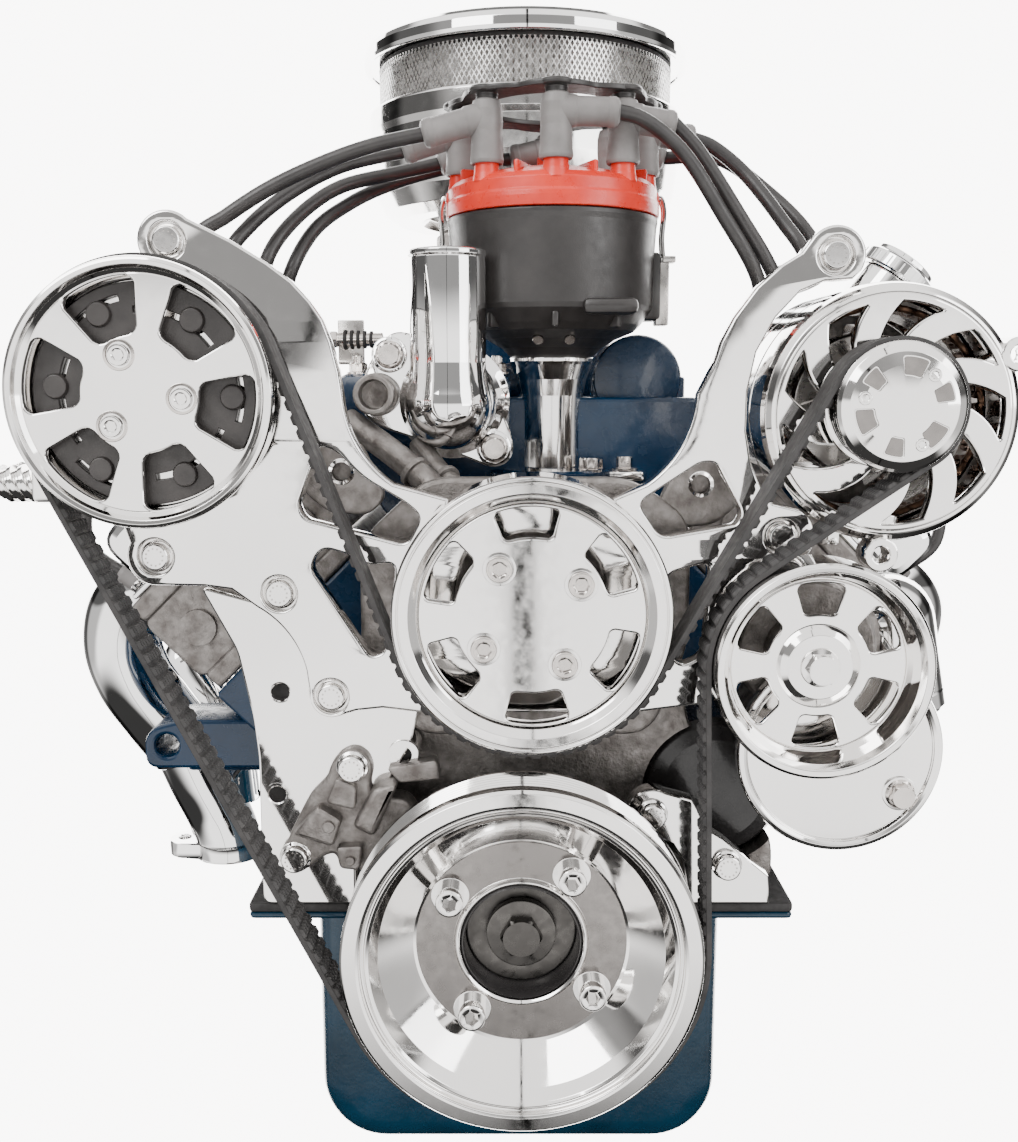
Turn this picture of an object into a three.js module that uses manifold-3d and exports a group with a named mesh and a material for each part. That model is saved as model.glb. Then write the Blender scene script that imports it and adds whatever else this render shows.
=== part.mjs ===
// A dressed 90-degree V8 with a polished six-rib front accessory drive.
// Millimetres, +Z up, front of the engine towards -Y, origin on the flat sole of the oil pan.
import * as THREE from 'three';
import { mergeVertices } from 'three/addons/utils/BufferGeometryUtils.js';
import Module from 'manifold-3d';

const wasm = await Module();
wasm.setup();

// ---- driving dimensions -------------------------------------------------------------------
const GAP = 0.3;                      // clearance left between touching pieces
const FRONT = -425;                   // front plane of every accessory pulley
const BELT = { front: -416.7, back: -395.3, thick: 4.5 };
const CRANK = { x: 0, z: 227.5 };
const CAM = { x: 0, z: 346 };
const PUMP = { x: 4.8, z: 410.2, rim: 69.8 };
const COMPRESSOR = { x: -184, z: 519, rim: 61.6, cover: 64.6 };
const ALTERNATOR = { x: 183, z: 513, rim: 29, cover: 32 };
const ALT_BODY = { x: 190, z: 509, radius: 67 };
const STEERING = { x: 150.4, z: 382.6, rim: 55 };
const CRANK_RIM = 94.5;
const BLOCK = { front: -255, back: 255, rail: 236.5, deck: 208.4, bore: 50.8, pitch: 111 };
const PLATE = { front: -385, back: -373 };
const LOWER = { front: -372.7, back: -361 };
const PAN = { half: 137, front: -250, back: 250, rail: 231, corner: 45, wall: 3 };
const COVER = { front: -345, back: -255.3 };
const DISTRIBUTOR = { x: 20, y: -240, cap: 624, radius: 65.5, towerRing: 56, towerTop: 655.4 };
const THERMOSTAT = { x: -42, y: -301, top: 599.5, tube: 22 };
const CARB_TOP = 672;
const CLEANER = { x: 6, y: -5, base: 124, lid: 127.5, ledge: 690, lidFloor: 770, top: 791 };
const FILLER = { foot: [205, -95, 503], mouth: [288, -95, 614] };
const LEAD_RADIUS = 4.25;

// ---- solids -------------------------------------------------------------------------------
function solid(geometry) {
  const bare = geometry.clone();
  bare.deleteAttribute('normal');
  bare.deleteAttribute('uv');
  const merged = mergeVertices(bare, 1e-4);
  const points = new Float32Array(merged.attributes.position.array);
  const faces = Uint32Array.from(merged.index.array);
  let volume = 0;
  for (let i = 0; i < faces.length; i += 3) {
    const [a, b, c] = [0, 1, 2].map((k) => new THREE.Vector3().fromArray(points, faces[i + k] * 3));
    volume += a.dot(b.cross(c));
  }
  if (volume < 0) {
    for (let i = 0; i < faces.length; i += 3) {
      const held = faces[i + 1];
      faces[i + 1] = faces[i + 2];
      faces[i + 2] = held;
    }
  }
  const used = [];
  for (let i = 0; i < faces.length; i += 3) {
    const [a, b, c] = [faces[i], faces[i + 1], faces[i + 2]];
    if (a !== b && b !== c && a !== c) used.push(a, b, c);
  }
  return new wasm.Manifold(new wasm.Mesh({
    numProp: 3, vertProperties: points, triVerts: Uint32Array.from(used),
  }));
}

const joined = (...pieces) => pieces.reduce((sum, piece) => sum.add(piece));
const cut = (body, ...tools) => tools.reduce((rest, tool) => rest.subtract(tool), body);

function box(x0, x1, y0, y1, z0, z1) {
  const geometry = new THREE.BoxGeometry(x1 - x0, y1 - y0, z1 - z0);
  return solid(geometry.translate((x0 + x1) / 2, (y0 + y1) / 2, (z0 + z1) / 2));
}

// A round bar from one point to another.
function rod(radius, from, to, sides = 12, tipRadius = radius) {
  const start = new THREE.Vector3(...from);
  const run = new THREE.Vector3(...to).sub(start);
  const geometry = new THREE.CylinderGeometry(tipRadius, radius, run.length(), sides);
  geometry.translate(0, run.length() / 2, 0);
  const turn = new THREE.Quaternion().setFromUnitVectors(new THREE.Vector3(0, 1, 0), run.normalize());
  return solid(geometry.applyQuaternion(turn).translate(...from));
}

// A fore-and-aft bar at (x, z).
const bar = (radius, x, z, y0, y1, sides = 12) => rod(radius, [x, y0, z], [x, y1, z], sides);

// A body of revolution about Y, from a profile of [radius, y] points.
function turned(profile, sides = 20) {
  const points = profile.map(([r, y]) => new THREE.Vector2(r, y));
  if (profile[0][0] > 0) points.push(points[0].clone());
  return solid(new THREE.LatheGeometry(points, sides));
}

// A body of revolution about the vertical line through (x, y).
function upright(profile, x, y, sides = 20) {
  const points = profile.map(([r, z]) => new THREE.Vector2(r, z));
  if (profile[0][0] > 0) points.push(points[0].clone());
  return solid(new THREE.LatheGeometry(points, sides).rotateX(Math.PI / 2).translate(x, y, 0));
}

function shapeOf(points) {
  return new THREE.Shape(points.map(([x, z]) => new THREE.Vector2(x, z)));
}

// A plate standing across the engine, with its outline in X and Z.
function plate(shape, y0, y1, curveSegments = 12) {
  const settings = { depth: y1 - y0, bevelEnabled: false, curveSegments };
  return solid(new THREE.ExtrudeGeometry(shape, settings).rotateX(Math.PI / 2).translate(0, y1, 0));
}

// A flat slab with its outline in X and Y.
function slab(shape, z0, z1, curveSegments = 12) {
  const settings = { depth: z1 - z0, bevelEnabled: false, curveSegments };
  return solid(new THREE.ExtrudeGeometry(shape, settings).translate(0, 0, z0));
}

// A round tube or bar swept along a smooth line through the points.
function swept(points, radius, steps, sides = 10) {
  const route = new THREE.CatmullRomCurve3(points.map((p) => new THREE.Vector3(...p)), false,
    'centripetal');
  const section = new THREE.Shape();
  for (let i = 0; i < sides; i += 1) {
    const angle = (2 * Math.PI * i) / sides;
    const [u, v] = [radius * Math.cos(angle), radius * Math.sin(angle)];
    if (i === 0) section.moveTo(u, v);
    else section.lineTo(u, v);
  }
  section.closePath();
  return solid(new THREE.ExtrudeGeometry(section, { steps, extrudePath: route, bevelEnabled: false }));
}

// A window with round corners between two radii, about the centre of a wheel.
function wheelWindow(inner, outer, middle, half, y0, y1) {
  const shape = new THREE.Shape();
  shape.absarc(0, 0, outer, middle - half, middle + half, false);
  shape.absarc(0, 0, inner, middle + half, middle - half, true);
  shape.closePath();
  return plate(shape, y0, y1, 1);
}

function windows(count, first, inner, outer, half, y0, y1) {
  const cuts = [];
  for (let i = 0; i < count; i += 1) {
    const middle = THREE.MathUtils.degToRad(first + (360 / count) * i);
    cuts.push(wheelWindow(inner, outer, middle, THREE.MathUtils.degToRad(half), y0, y1));
  }
  return cuts;
}

function boltCircle(count, first, radius, hole, y0, y1) {
  const holes = [];
  for (let i = 0; i < count; i += 1) {
    const angle = THREE.MathUtils.degToRad(first + (360 / count) * i);
    holes.push(bar(hole, radius * Math.cos(angle), radius * Math.sin(angle), y0, y1, 6));
  }
  return holes;
}

// ---- materials ----------------------------------------------------------------------------
const finish = (color, roughness, metalness) => new THREE.MeshStandardMaterial({ color, roughness,
  metalness });
const POLISHED = finish(0xe6e2de, 0.12, 1);
const CHROME = finish(0xf2f0ee, 0.05, 1);
const CAST = finish(0x9a9694, 0.55, 0.9);
const STEEL = finish(0x8b8886, 0.4, 1);
const BLUE = finish(0x0f3a66, 0.35, 0);
const BLACK = finish(0x1c1b1b, 0.6, 0);
const RUBBER = finish(0x242322, 0.75, 0);
const RED = finish(0xc8321f, 0.3, 0);
const COPPER = finish(0x9a5a34, 0.45, 1);
const FILTER = finish(0xd9d6d2, 0.8, 0);

const engine = new THREE.Group();

function add(name, body, material, position = [0, 0, 0]) {
  const mesh = body.getMesh();
  const geometry = new THREE.BufferGeometry();
  geometry.setAttribute('position', new THREE.BufferAttribute(new Float32Array(mesh.vertProperties), 3));
  geometry.setIndex(new THREE.BufferAttribute(new Uint32Array(mesh.triVerts), 1));
  const part = new THREE.Mesh(geometry, material);
  part.name = name;
  part.position.set(...position);
  engine.add(part);
}

const mirrored = (points) => points.map(([x, z]) => [-x, z]).reverse();

// ---- block, crankcase and pan ---------------------------------------------------------------
const BANK = Math.SQRT1_2;
const deckPoint = (side, across, up) => {
  const reach = (BLOCK.deck + up) * BANK;
  return [side * (reach + across * BANK), CRANK.z + reach - across * BANK];
};

function engineBlock() {
  const side = [
    [0, BLOCK.rail], [148, BLOCK.rail], [148, BLOCK.rail + 12], [132, 262],
    deckPoint(1, 70, -72), deckPoint(1, 70, 0), deckPoint(1, -74, 0), deckPoint(1, -74, -22), [40, 392],
      [0, 392],
  ];
  let body = joined(plate(shapeOf(side), BLOCK.front, BLOCK.back),
    plate(shapeOf(mirrored(side)), BLOCK.front, BLOCK.back));
  const bell = new THREE.Shape();
  const bellStart = Math.asin((BLOCK.rail + 0.2 - CRANK.z) / 190);
  bell.absarc(CRANK.x, CRANK.z, 190, bellStart, Math.PI - bellStart, false);
  bell.closePath();
  body = joined(body, plate(bell, BLOCK.back - 14, BLOCK.back, 8));
  body = joined(body, box(-246, -150, -250, -205, 274, 307), box(132, 186, -250, -205, 237, 290));
  const bays = [];
  for (let bay = 0; bay < 4; bay += 1) {
    const middle = (bay - 1.5) * BLOCK.pitch;
    bays.push(bar(86, CRANK.x, CRANK.z, middle - 42, middle + 42, 18));
    for (const way of [-1, 1]) {
      const y = middle + way * 11;
      const low = deckPoint(way, 0, -110);
      const high = deckPoint(way, 0, 5);
      bays.push(rod(BLOCK.bore, [low[0], y, low[1]], [high[0], y, high[1]], 14));
    }
  }
  return cut(body, ...bays,
    bar(30, CRANK.x, CRANK.z, BLOCK.front - 5, BLOCK.back + 5),
    bar(24, CAM.x, CAM.z, BLOCK.front - 5, BLOCK.back - 20),
    rod(14.5, [DISTRIBUTOR.x, DISTRIBUTOR.y, 340], [DISTRIBUTOR.x, DISTRIBUTOR.y, 400]),
    bar(7.6, -231.2, 289.5, -260, -200, 16));
}
add('engine_block', engineBlock(), BLUE);

function panOutline(inset, top) {
  const [half, low, r] = [PAN.half - inset, inset, PAN.corner - inset];
  const shape = new THREE.Shape();
  shape.moveTo(half, top);
  shape.lineTo(-half, top);
  shape.lineTo(-half, low + r);
  shape.absarc(-half + r, low + r, r, Math.PI, 1.5 * Math.PI, false);
  shape.lineTo(half - r, low);
  shape.absarc(half - r, low + r, r, 1.5 * Math.PI, 2 * Math.PI, false);
  shape.closePath();
  return shape;
}

// Two ears of the rail reach forward under the lower brackets.
const RAIL_EAR = { inner: 96, outer: 153, front: -371 };
function railOutline(inner) {
  if (inner) return shapeOf([[-132, -246], [132, -246], [132, 246], [-132, 246]]);
  const ears = [[-RAIL_EAR.inner, COVER.front], [RAIL_EAR.inner, COVER.front],
    [RAIL_EAR.inner, RAIL_EAR.front], [RAIL_EAR.outer, RAIL_EAR.front], [148, 254],
    [-148, 254], [-RAIL_EAR.outer, RAIL_EAR.front], [-RAIL_EAR.inner, RAIL_EAR.front]];
  return shapeOf(ears);
}

const sealBoss = bar(46, CRANK.x, CRANK.z, -380, -240, 24);
const rearSeal = bar(46, CRANK.x, CRANK.z, 240, 262, 24);

function oilPan() {
  const shell = joined(plate(panOutline(0, PAN.rail), PAN.front, PAN.back, 6),
    slab(railOutline(false), PAN.rail - 4, PAN.rail));
  const hollow = plate(panOutline(PAN.wall, PAN.rail + 5), PAN.front + PAN.wall, PAN.back - PAN.wall, 6);
  return cut(shell, hollow, sealBoss, rearSeal);
}
add('oil_pan', oilPan(), BLUE);

const gasketTop = BLOCK.rail - GAP;
const endSeal = cut(bar(45.5, CRANK.x, CRANK.z, 247, 253, 24), box(-60, 60, 240, 260, gasketTop, 300));
const sideStrips = cut(slab(railOutline(false), PAN.rail + GAP, gasketTop),
  slab(railOutline(true), PAN.rail, gasketTop + 1), sealBoss);
add('oil_pan_gasket', cut(joined(sideStrips, endSeal), bar(30.5, CRANK.x, CRANK.z, 235, 265)), BLACK);

const filterSolid = (grow) => bar(42 + grow, 112, 292, -341 - grow, -258 + grow, 20);

function timingCover() {
  const outline = shapeOf([
    [-146, BLOCK.rail], [146, BLOCK.rail], [146, 262], [128, 300], [96, 330], [84, 400], [40, 430],
    [-40, 430], [-84, 400], [-96, 330], [-128, 300], [-146, 262],
  ]);
  const boss = bar(45, CRANK.x, CRANK.z, COVER.front, -247, 24);
  const hollow = shapeOf([[-66, 262], [66, 262], [66, 412], [-66, 412]]);
  return cut(joined(plate(outline, COVER.front, COVER.back), boss),
    plate(hollow, COVER.front + 12, COVER.back + 1),
    bar(58, CRANK.x, CRANK.z + 4, COVER.front + 12, COVER.back + 1, 30),
    box(-50, 50, COVER.back, -240, 180, 290), filterSolid(GAP),
    bar(17.5, CRANK.x, CRANK.z, -360, -240));
}
add('timing_cover', timingCover(), CAST);

// ---- rotating assembly ----------------------------------------------------------------------
function crankshaft() {
  let shaft = joined(rod(16, [0, -380, 0], [0, -262, 0]), bar(28, 0, 0, -262, -205), bar(28, 0, 0, 205,
    262),
    bar(44, 0, 0, 262, 272, 28));
  for (let pair = 0; pair < 4; pair += 1) {
    const middle = (pair - 1.5) * BLOCK.pitch;
    const angle = (pair % 3 === 0 ? 0 : Math.PI / 2) + (pair > 1 ? Math.PI : 0);
    const [x, z] = [38 * Math.cos(angle), 38 * Math.sin(angle)];
    shaft = joined(shaft, bar(26, x, z, middle - 30, middle + 30, 8),
      bar(64, -x * 0.25, -z * 0.25, middle - 40, middle - 26, 12),
      bar(64, -x * 0.25, -z * 0.25, middle + 26, middle + 40, 12));
    if (pair < 3) shaft = joined(shaft, bar(28, 0, 0, middle + 39, middle + BLOCK.pitch - 39, 10));
  }
  return cut(shaft, bar(6.5, 0, 0, -385, -350, 12));
}
add('crankshaft', crankshaft(), STEEL, [CRANK.x, 0, CRANK.z]);

function sprocket(bore, root, teeth, y0, y1) {
  const shape = new THREE.Shape();
  for (let i = 0; i < teeth * 2; i += 1) {
    const angle = (Math.PI * i) / teeth;
    const radius = i % 2 ? root : root + 5;
    if (i === 0) shape.moveTo(radius, 0);
    else shape.lineTo(radius * Math.cos(angle), radius * Math.sin(angle));
  }
  shape.closePath();
  return cut(plate(shape, y0, y1), bar(bore, 0, 0, y0 - 1, y1 + 1, 20));
}
add('crank_sprocket', sprocket(16 + GAP, 22, 14, -292, -272), STEEL, [CRANK.x, 0, CRANK.z]);
add('cam_sprocket', sprocket(11, 49, 28, -292, -272), STEEL, [CAM.x, 0, CAM.z]);

function camshaft() {
  let shaft = joined(bar(10.5, 0, 0, -296, -250, 16), bar(15, 0, 0, -262, 225, 10), bar(20, 0, 0, -252,
    -246, 10));
  for (let lobe = 0; lobe < 8; lobe += 1) {
    const angle = (lobe * 3 * Math.PI) / 4;
    const y = (lobe - 3.5) * 54;
    shaft = joined(shaft, bar(16, 6 * Math.cos(angle), 6 * Math.sin(angle), y - 7, y + 7, 8));
  }
  return shaft;
}
add('camshaft', camshaft(), STEEL, [CAM.x, 0, CAM.z]);

function chainLoop(offset) {
  const [low, high] = [26 + offset, 53 + offset];
  const lean = Math.asin((high - low) / (CAM.z - CRANK.z));
  const path = new THREE.Path();
  path.absarc(CAM.x, CAM.z, high, -lean, Math.PI + lean, false);
  path.absarc(CRANK.x, CRANK.z, low, Math.PI + lean, 2 * Math.PI - lean, false);
  path.closePath();
  return path;
}
const chainShape = new THREE.Shape(chainLoop(8).getPoints(8));
chainShape.holes.push(new THREE.Path(chainLoop(1.8).getPoints(8)));
add('timing_chain', plate(chainShape, -290, -274), STEEL);

add('harmonic_damper', turned([
  [16 + GAP, -384], [30, -384], [30, -372.5], [80, -372.5], [80, -351], [22, -351], [16 + GAP, -351],
]), CAST, [CRANK.x, 0, CRANK.z]);

add('crank_pulley', cut(turned([
  [CRANK_RIM, FRONT], [CRANK_RIM, -392], [88.5, -392], [88.5, -410], [64, -388], [56, -388], [56, -372.8],
    [33, -372.8],
  [33, -398], [57, -398], [81.4, -422], [83.4, FRONT],
], 24), ...boltCircle(4, 55, 46.5, 5, -405, -370)), POLISHED, [CRANK.x, 0, CRANK.z]);

add('crank_bolt', joined(bar(11, 0, 0, -396, -388, 6), bar(19, 0, 0, -389, -384 - GAP, 24),
  bar(6, 0, 0, -386, -352, 12)), STEEL, [CRANK.x, 0, CRANK.z]);

add('flexplate', cut(turned([
  [30, 272.4], [162, 272.4], [162, 268], [170, 268], [170, 279], [162, 279], [162, 276], [30, 276],
], 24), ...boltCircle(6, 0, 90, 16, 265, 285)), STEEL, [CRANK.x, 0, CRANK.z]);

// ---- heads, covers and intake ----------------------------------------------------------------
function bankPrism(side, across0, across1, up0, up1, y0, y1) {
  const corners = [deckPoint(side, across0, up0), deckPoint(side, across1, up0), deckPoint(side, across1,
    up1), deckPoint(side, across0, up1)];
  return plate(shapeOf(side > 0 ? corners : corners.reverse()), y0, y1);
}

const exhaustPort = (port) => (port - 1.5) * BLOCK.pitch + 25;

function cylinderHead(side) {
  let head = bankPrism(side, -72, 70, GAP, 78, -253, 253);
  for (let port = 0; port < 4; port += 1) {
    const y = exhaustPort(port);
    const inner = deckPoint(side, 35, 40);
    const outer = deckPoint(side, 75, 40);
    head = cut(head, rod(16, [inner[0], y, inner[1]], [outer[0], y, outer[1]], 10));
    const low = deckPoint(side, 0, -5);
    const roof = deckPoint(side, 0, 12);
    head = cut(head, rod(46, [low[0], y + side * 11, low[1]], [roof[0], y + side * 11, roof[1]], 12, 30));
  }
  return head;
}

function valveCover(side) {
  const outer = bankPrism(side, -66, 62, 78 + GAP, 128, -250, 250);
  return cut(outer, bankPrism(side, -62, 58, 70, 124, -246, 246));
}

for (const [label, side] of [['left', -1], ['right', 1]]) {
  add(`cylinder_head_${label}`, cylinderHead(side), CAST);
  add(`valve_cover_${label}`, valveCover(side), CHROME);
}

function intakeManifold() {
  const runners = shapeOf([[-88, 446], [-50, 404], [50, 404], [88, 446], [118, 512], [60, 545],
    [-60, 545], [-118, 512]]);
  const body = joined(plate(runners, -250, 238), box(-70, 70, -75, 75, 540, 560),
    box(47, 107, -226, -180, 466, 529), bar(28.5, 76, 527, -226, -180, 20),
    box(-110, -6, -285, -240, 486, 530));
  return cut(body, rod(45, [0, 0, 500], [0, 0, 570], 24),
    rod(24, [DISTRIBUTOR.x, DISTRIBUTOR.y, 390], [DISTRIBUTOR.x, DISTRIBUTOR.y, 600]),
    box(-140, 140, -170, 260, 520, 546).subtract(box(-72, 72, -80, 80, 500, 560)));
}
add('intake_manifold', intakeManifold(), BLUE);

const THROTTLE = { x: 0, y: 25, z: 575 };
function carburetor() {
  const body = joined(box(-62, 62, -72, 72, 560 + GAP, 600), box(-56, 56, -100, 100, 600, 640),
    upright([[0, 640], [64, 640], [64, CARB_TOP - GAP], [0, CARB_TOP - GAP]], 0, 0, 32));
  const bores = [];
  for (const [x, y] of [[-25, -25], [25, -25], [-25, 25], [25, 25]]) {
    bores.push(rod(19, [x, y, 550], [x, y, 690], 12));
  }
  return cut(body, ...bores, rod(5, [-80, THROTTLE.y, THROTTLE.z], [80, THROTTLE.y, THROTTLE.z], 12),
    rod(4, [CLEANER.x, CLEANER.y, 590], [CLEANER.x, CLEANER.y, 700], 12));
}
add('carburetor', carburetor(), CAST);

function throttleShaft() {
  const shaft = joined(rod(4.5, [-68, 0, 0], [68, 0, 0], 12), box(63, 67, -8, 8, -8, 34));
  return joined(shaft, rod(17.5, [-25, 0, -1], [-25, 0, 1]), rod(17.5, [25, 0, -1], [25, 0, 1]));
}
add('throttle_shaft', throttleShaft(), STEEL, [THROTTLE.x, THROTTLE.y, THROTTLE.z]);

// ---- air cleaner: a dished base hanging below the carburettor's mouth, the element and its lid ------
const CLEANER_SIDES = 20;
add('air_cleaner_base', upright([
  [58, CARB_TOP], [74, CARB_TOP], [77, 657], [83, 652], [103, 652], [113, 659], [120, 673], [123, 695],
    [123, 716],
  [CLEANER.base, 720], [CLEANER.base, 732], [121, 734], [119.5, 700], [119.5, CLEANER.ledge],
  [106, CLEANER.ledge],
  [106, 687], [117.5, 687], [116.5, 675], [111, 663], [102, 655], [84, 655], [80, 659], [77, 675],
  [58, 675],
], CLEANER.x, CLEANER.y, CLEANER_SIDES), CHROME);
add('air_filter_element', upright([
  [104, CLEANER.ledge + GAP], [116, CLEANER.ledge + GAP], [116, CLEANER.lidFloor - GAP],
  [104, CLEANER.lidFloor - GAP],
], CLEANER.x, CLEANER.y, CLEANER_SIDES), FILTER);
add('air_cleaner_lid', upright([
  [4, CLEANER.lidFloor], [119, CLEANER.lidFloor], [124, 767], [CLEANER.lid, 769], [CLEANER.lid, 777],
    [123, 783],
  [110, 788], [60, CLEANER.top], [4, CLEANER.top], [4, 788], [60, 788], [108, 785], [119, 780],
  [122, 773], [4, 773],
], CLEANER.x, CLEANER.y, CLEANER_SIDES), CHROME);

// The nut is a broad scalloped disc on the stud that stands up from the carburettor.
function cleanerNut() {
  const scallops = new THREE.Shape();
  const count = 34;
  for (let i = 0; i < count * 2; i += 1) {
    const angle = (Math.PI * i) / count;
    const radius = i % 2 ? 54 : 60;
    if (i === 0) scallops.moveTo(radius, 0);
    else scallops.lineTo(radius * Math.cos(angle), radius * Math.sin(angle));
  }
  scallops.closePath();
  return joined(rod(3.4, [0, 0, 600], [0, 0, CLEANER.top + 2], 12),
    slab(scallops, CLEANER.top + GAP, 804), upright([[0, 803], [46, 803], [30, 810], [0, 812]], 0, 0));
}
add('air_cleaner_nut', cleanerNut(), CHROME, [CLEANER.x, CLEANER.y, 0]);

// ---- distributor ------------------------------------------------------------------------------
const { x: dx, y: dy } = DISTRIBUTOR;
add('distributor_housing', upright([
  [8, 400], [14, 400], [14, 440], [20, 440], [20, 535], [24, 552], [40, 556], [52, 556], [62, 568],
  [63, DISTRIBUTOR.cap - GAP], [57, DISTRIBUTOR.cap - GAP], [56, 572], [48, 562], [8, 560],
], dx, dy, 20), BLACK);

// The towers stand on a ring at every 45 degrees, one of them at the front.
function towerPlace(tower) {
  const angle = (Math.PI * tower) / 4;
  return [DISTRIBUTOR.towerRing * Math.cos(angle), DISTRIBUTOR.towerRing * Math.sin(angle)];
}

function distributorCap() {
  const R = DISTRIBUTOR.radius;
  let cap = upright([
    [0, 652], [24, 651.6], [54, 646.4], [64, 640.4], [R, 632], [R, DISTRIBUTOR.cap], [58, DISTRIBUTOR.cap],
    [58, 634], [40, 640], [0, 640],
  ], 0, 0, 20);
  for (let tower = 0; tower < 8; tower += 1) {
    const [x, y] = towerPlace(tower);
    cap = joined(cap, rod(8, [x, y, 640], [x, y, DISTRIBUTOR.towerTop], 6, 7.2));
  }
  return joined(cap, rod(10, [0, 0, 648], [0, 0, 662], 12, 9));
}
add('distributor_cap', distributorCap(), RED, [dx, dy, 0]);
add('distributor_rotor', joined(rod(7.5, [0, 0, 374], [0, 0, 600], 16), rod(11.5, [0, 0, 374],
  [0, 0, 394], 16),
  rod(32, [0, 0, 598], [0, 0, 606], 24), rod(12, [0, 0, 604], [0, 0, 630], 16), box(-6, 46, -6, 6, 620,
    626)),
BLACK, [dx, dy, 0]);

// ---- ignition leads: an elbow boot on each tower and one smooth run to its bank -------------------
// Each run starts at the end of its boot's arm and goes over the front, then down behind the bracket.
const BOOT = { radius: 8.6, top: 687, arm: 676.5, armRadius: 7.8 };
const LEAD_RUNS = {
  left: [
    { tower: 5, run: [[-57, -283, 666], [-84, -285, 660], [-111, -286, 651], [-144, -288, 636],
      [-170, -289, 620], [-187, -288, 608], [-172, -232, 572]] },
    { tower: 4, run: [[-72, -245, 664], [-108, -258, 653], [-137, -268, 636], [-160, -278, 615],
      [-170, -281, 601], [-165, -186, 568]] },
    { tower: 3, run: [[-52, -205, 664], [-76, -215, 657], [-111, -235, 645], [-131, -250, 629],
      [-147, -266, 607], [-153, -268, 593], [-160, -136, 564]] },
    { tower: 2, run: [[-6, -184, 671], [-24, -183.5, 669], [-50, -188, 664], [-84, -205, 651],
      [-106, -225, 637], [-127, -245, 617], [-141, -256, 588], [-152, -88, 560]] },
  ],
  right: [
    { tower: 6, run: [[56, -298, 675], [68, -297, 672], [91, -293, 656], [117, -290, 620], [139, -285, 585],
      [152, -240, 548]] },
    { tower: 7, run: [[90, -281, 671], [101, -281, 660], [127, -283, 622], [150, -280, 586],
      [166, -190, 560]] },
    { tower: 0, run: [[107, -240, 672], [117, -241, 668], [136, -246, 652], [158, -260, 621],
      [171, -266, 600],
      [177, -140, 573]] },
    { tower: 1, run: [[94, -203, 668], [125, -222, 664], [156, -235, 640], [176, -246, 617],
      [187, -247, 598],
      [189, -82, 585]] },
  ],
};
for (const [label, away] of [['left', -1], ['right', 1]]) {
  LEAD_RUNS[label].forEach(({ tower, run }, index) => {
    const [ringX, ringY] = towerPlace(tower);
    const [x, y] = [dx + ringX, dy + ringY];
    const plug = (index - 1.5) * BLOCK.pitch + away * 11 - 12;
    const boot = joined(rod(BOOT.radius, [x, y, DISTRIBUTOR.towerTop + GAP], [x, y, BOOT.top], 7),
      rod(BOOT.armRadius, [x, y, BOOT.arm], run[0], 6));
    const route = [...run, [away * 228, plug, 542], [away * 292, plug, 455], [away * 296, plug, 414],
      [away * 266, plug, 390]];
    const wire = swept(route, LEAD_RADIUS, 13, 5);
    const plugBoot = rod(7, [away * 276, plug, 396], [away * 257, plug, 384], 6);
    add(`ignition_lead_${index + (away > 0 ? 5 : 1)}`, joined(boot, wire, plugBoot), RUBBER);
  });
}

// ---- water pump and cooling outlet ---------------------------------------------------------------
function waterPumpHousing() {
  const outline = shapeOf([[-88, 372], [-60, 330], [72, 330], [92, 380], [92, 452], [60, 474], [-52, 474],
    [-88, 440]]);
  const body = joined(plate(outline, -361 + GAP + 0.4, COVER.front - GAP),
    turned([[0, -358], [48, -358], [48, -361], [30, -374], [26, -394], [0, -394]],
      28).translate([PUMP.x, 0, PUMP.z]));
  return cut(body, bar(9 + GAP, PUMP.x, PUMP.z, -400, -340, 20),
    turned([[0, -355], [44, -355], [44, -340], [0, -340]], 28).translate([PUMP.x, 0, PUMP.z]));
}
add('water_pump_housing', waterPumpHousing(), CAST);
function impeller() {
  let wheel = joined(bar(9, 0, 0, -404, -349, 16), bar(26, 0, 0, -413, -404, 24), bar(38, 0, 0, -350,
    -347.6, 24));
  for (let blade = 0; blade < 6; blade += 1) {
    const angle = (Math.PI * blade) / 3;
    const [c, s] = [Math.cos(angle), Math.sin(angle)];
    const fin = shapeOf([[12 * c - 1.5 * s, 12 * s + 1.5 * c], [12 * c + 1.5 * s, 12 * s - 1.5 * c],
      [38 * c + 1.5 * s, 38 * s - 1.5 * c], [38 * c - 1.5 * s, 38 * s + 1.5 * c]]);
    wheel = joined(wheel, plate(fin, -353, -349));
  }
  return wheel;
}
add('water_pump_impeller', impeller(), STEEL, [PUMP.x, 0, PUMP.z]);
add('water_pump_pulley', cut(turned([
  [0, -421], [56, -421], [60, FRONT], [PUMP.rim, FRONT], [PUMP.rim, -392], [64, -392], [64, -413.3],
  [0, -413.3],
], 24), ...windows(6, 93, 39, 55, 18, -430, -410), ...boltCircle(4, 34, 29, 3, -430, -400)), POLISHED,
[PUMP.x, 0, PUMP.z]);

function thermostatHousing() {
  const { x, y, top, tube } = THERMOSTAT;
  const flange = shapeOf([[-82, 548], [-92, 512], [-86, 500], [-20, 478], [-6, 480], [-8, 500],
    [-30, 545], [-70, 556]]);
  let body = joined(rod(tube, [x, y, 516], [x, y, top], 28), rod(30, [x, y, 515], [x, -286, 515], 28, 34),
    plate(flange, -292, -285 - GAP), rod(11, [-84, -318, 519], [-84, -286, 519], 18),
    solid(new THREE.SphereGeometry(27, 14, 8).translate(x, y, 513)));
  body = cut(body, rod(tube - 3, [x, y, 520], [x, y, top + 5], 24), rod(7, [-84, -325, 519],
    [-84, -296, 519], 14),
    box(-120, 20, -285 - GAP, -240, 450, 620));
  return body;
}
add('thermostat_housing', thermostatHousing(), CHROME);

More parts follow.
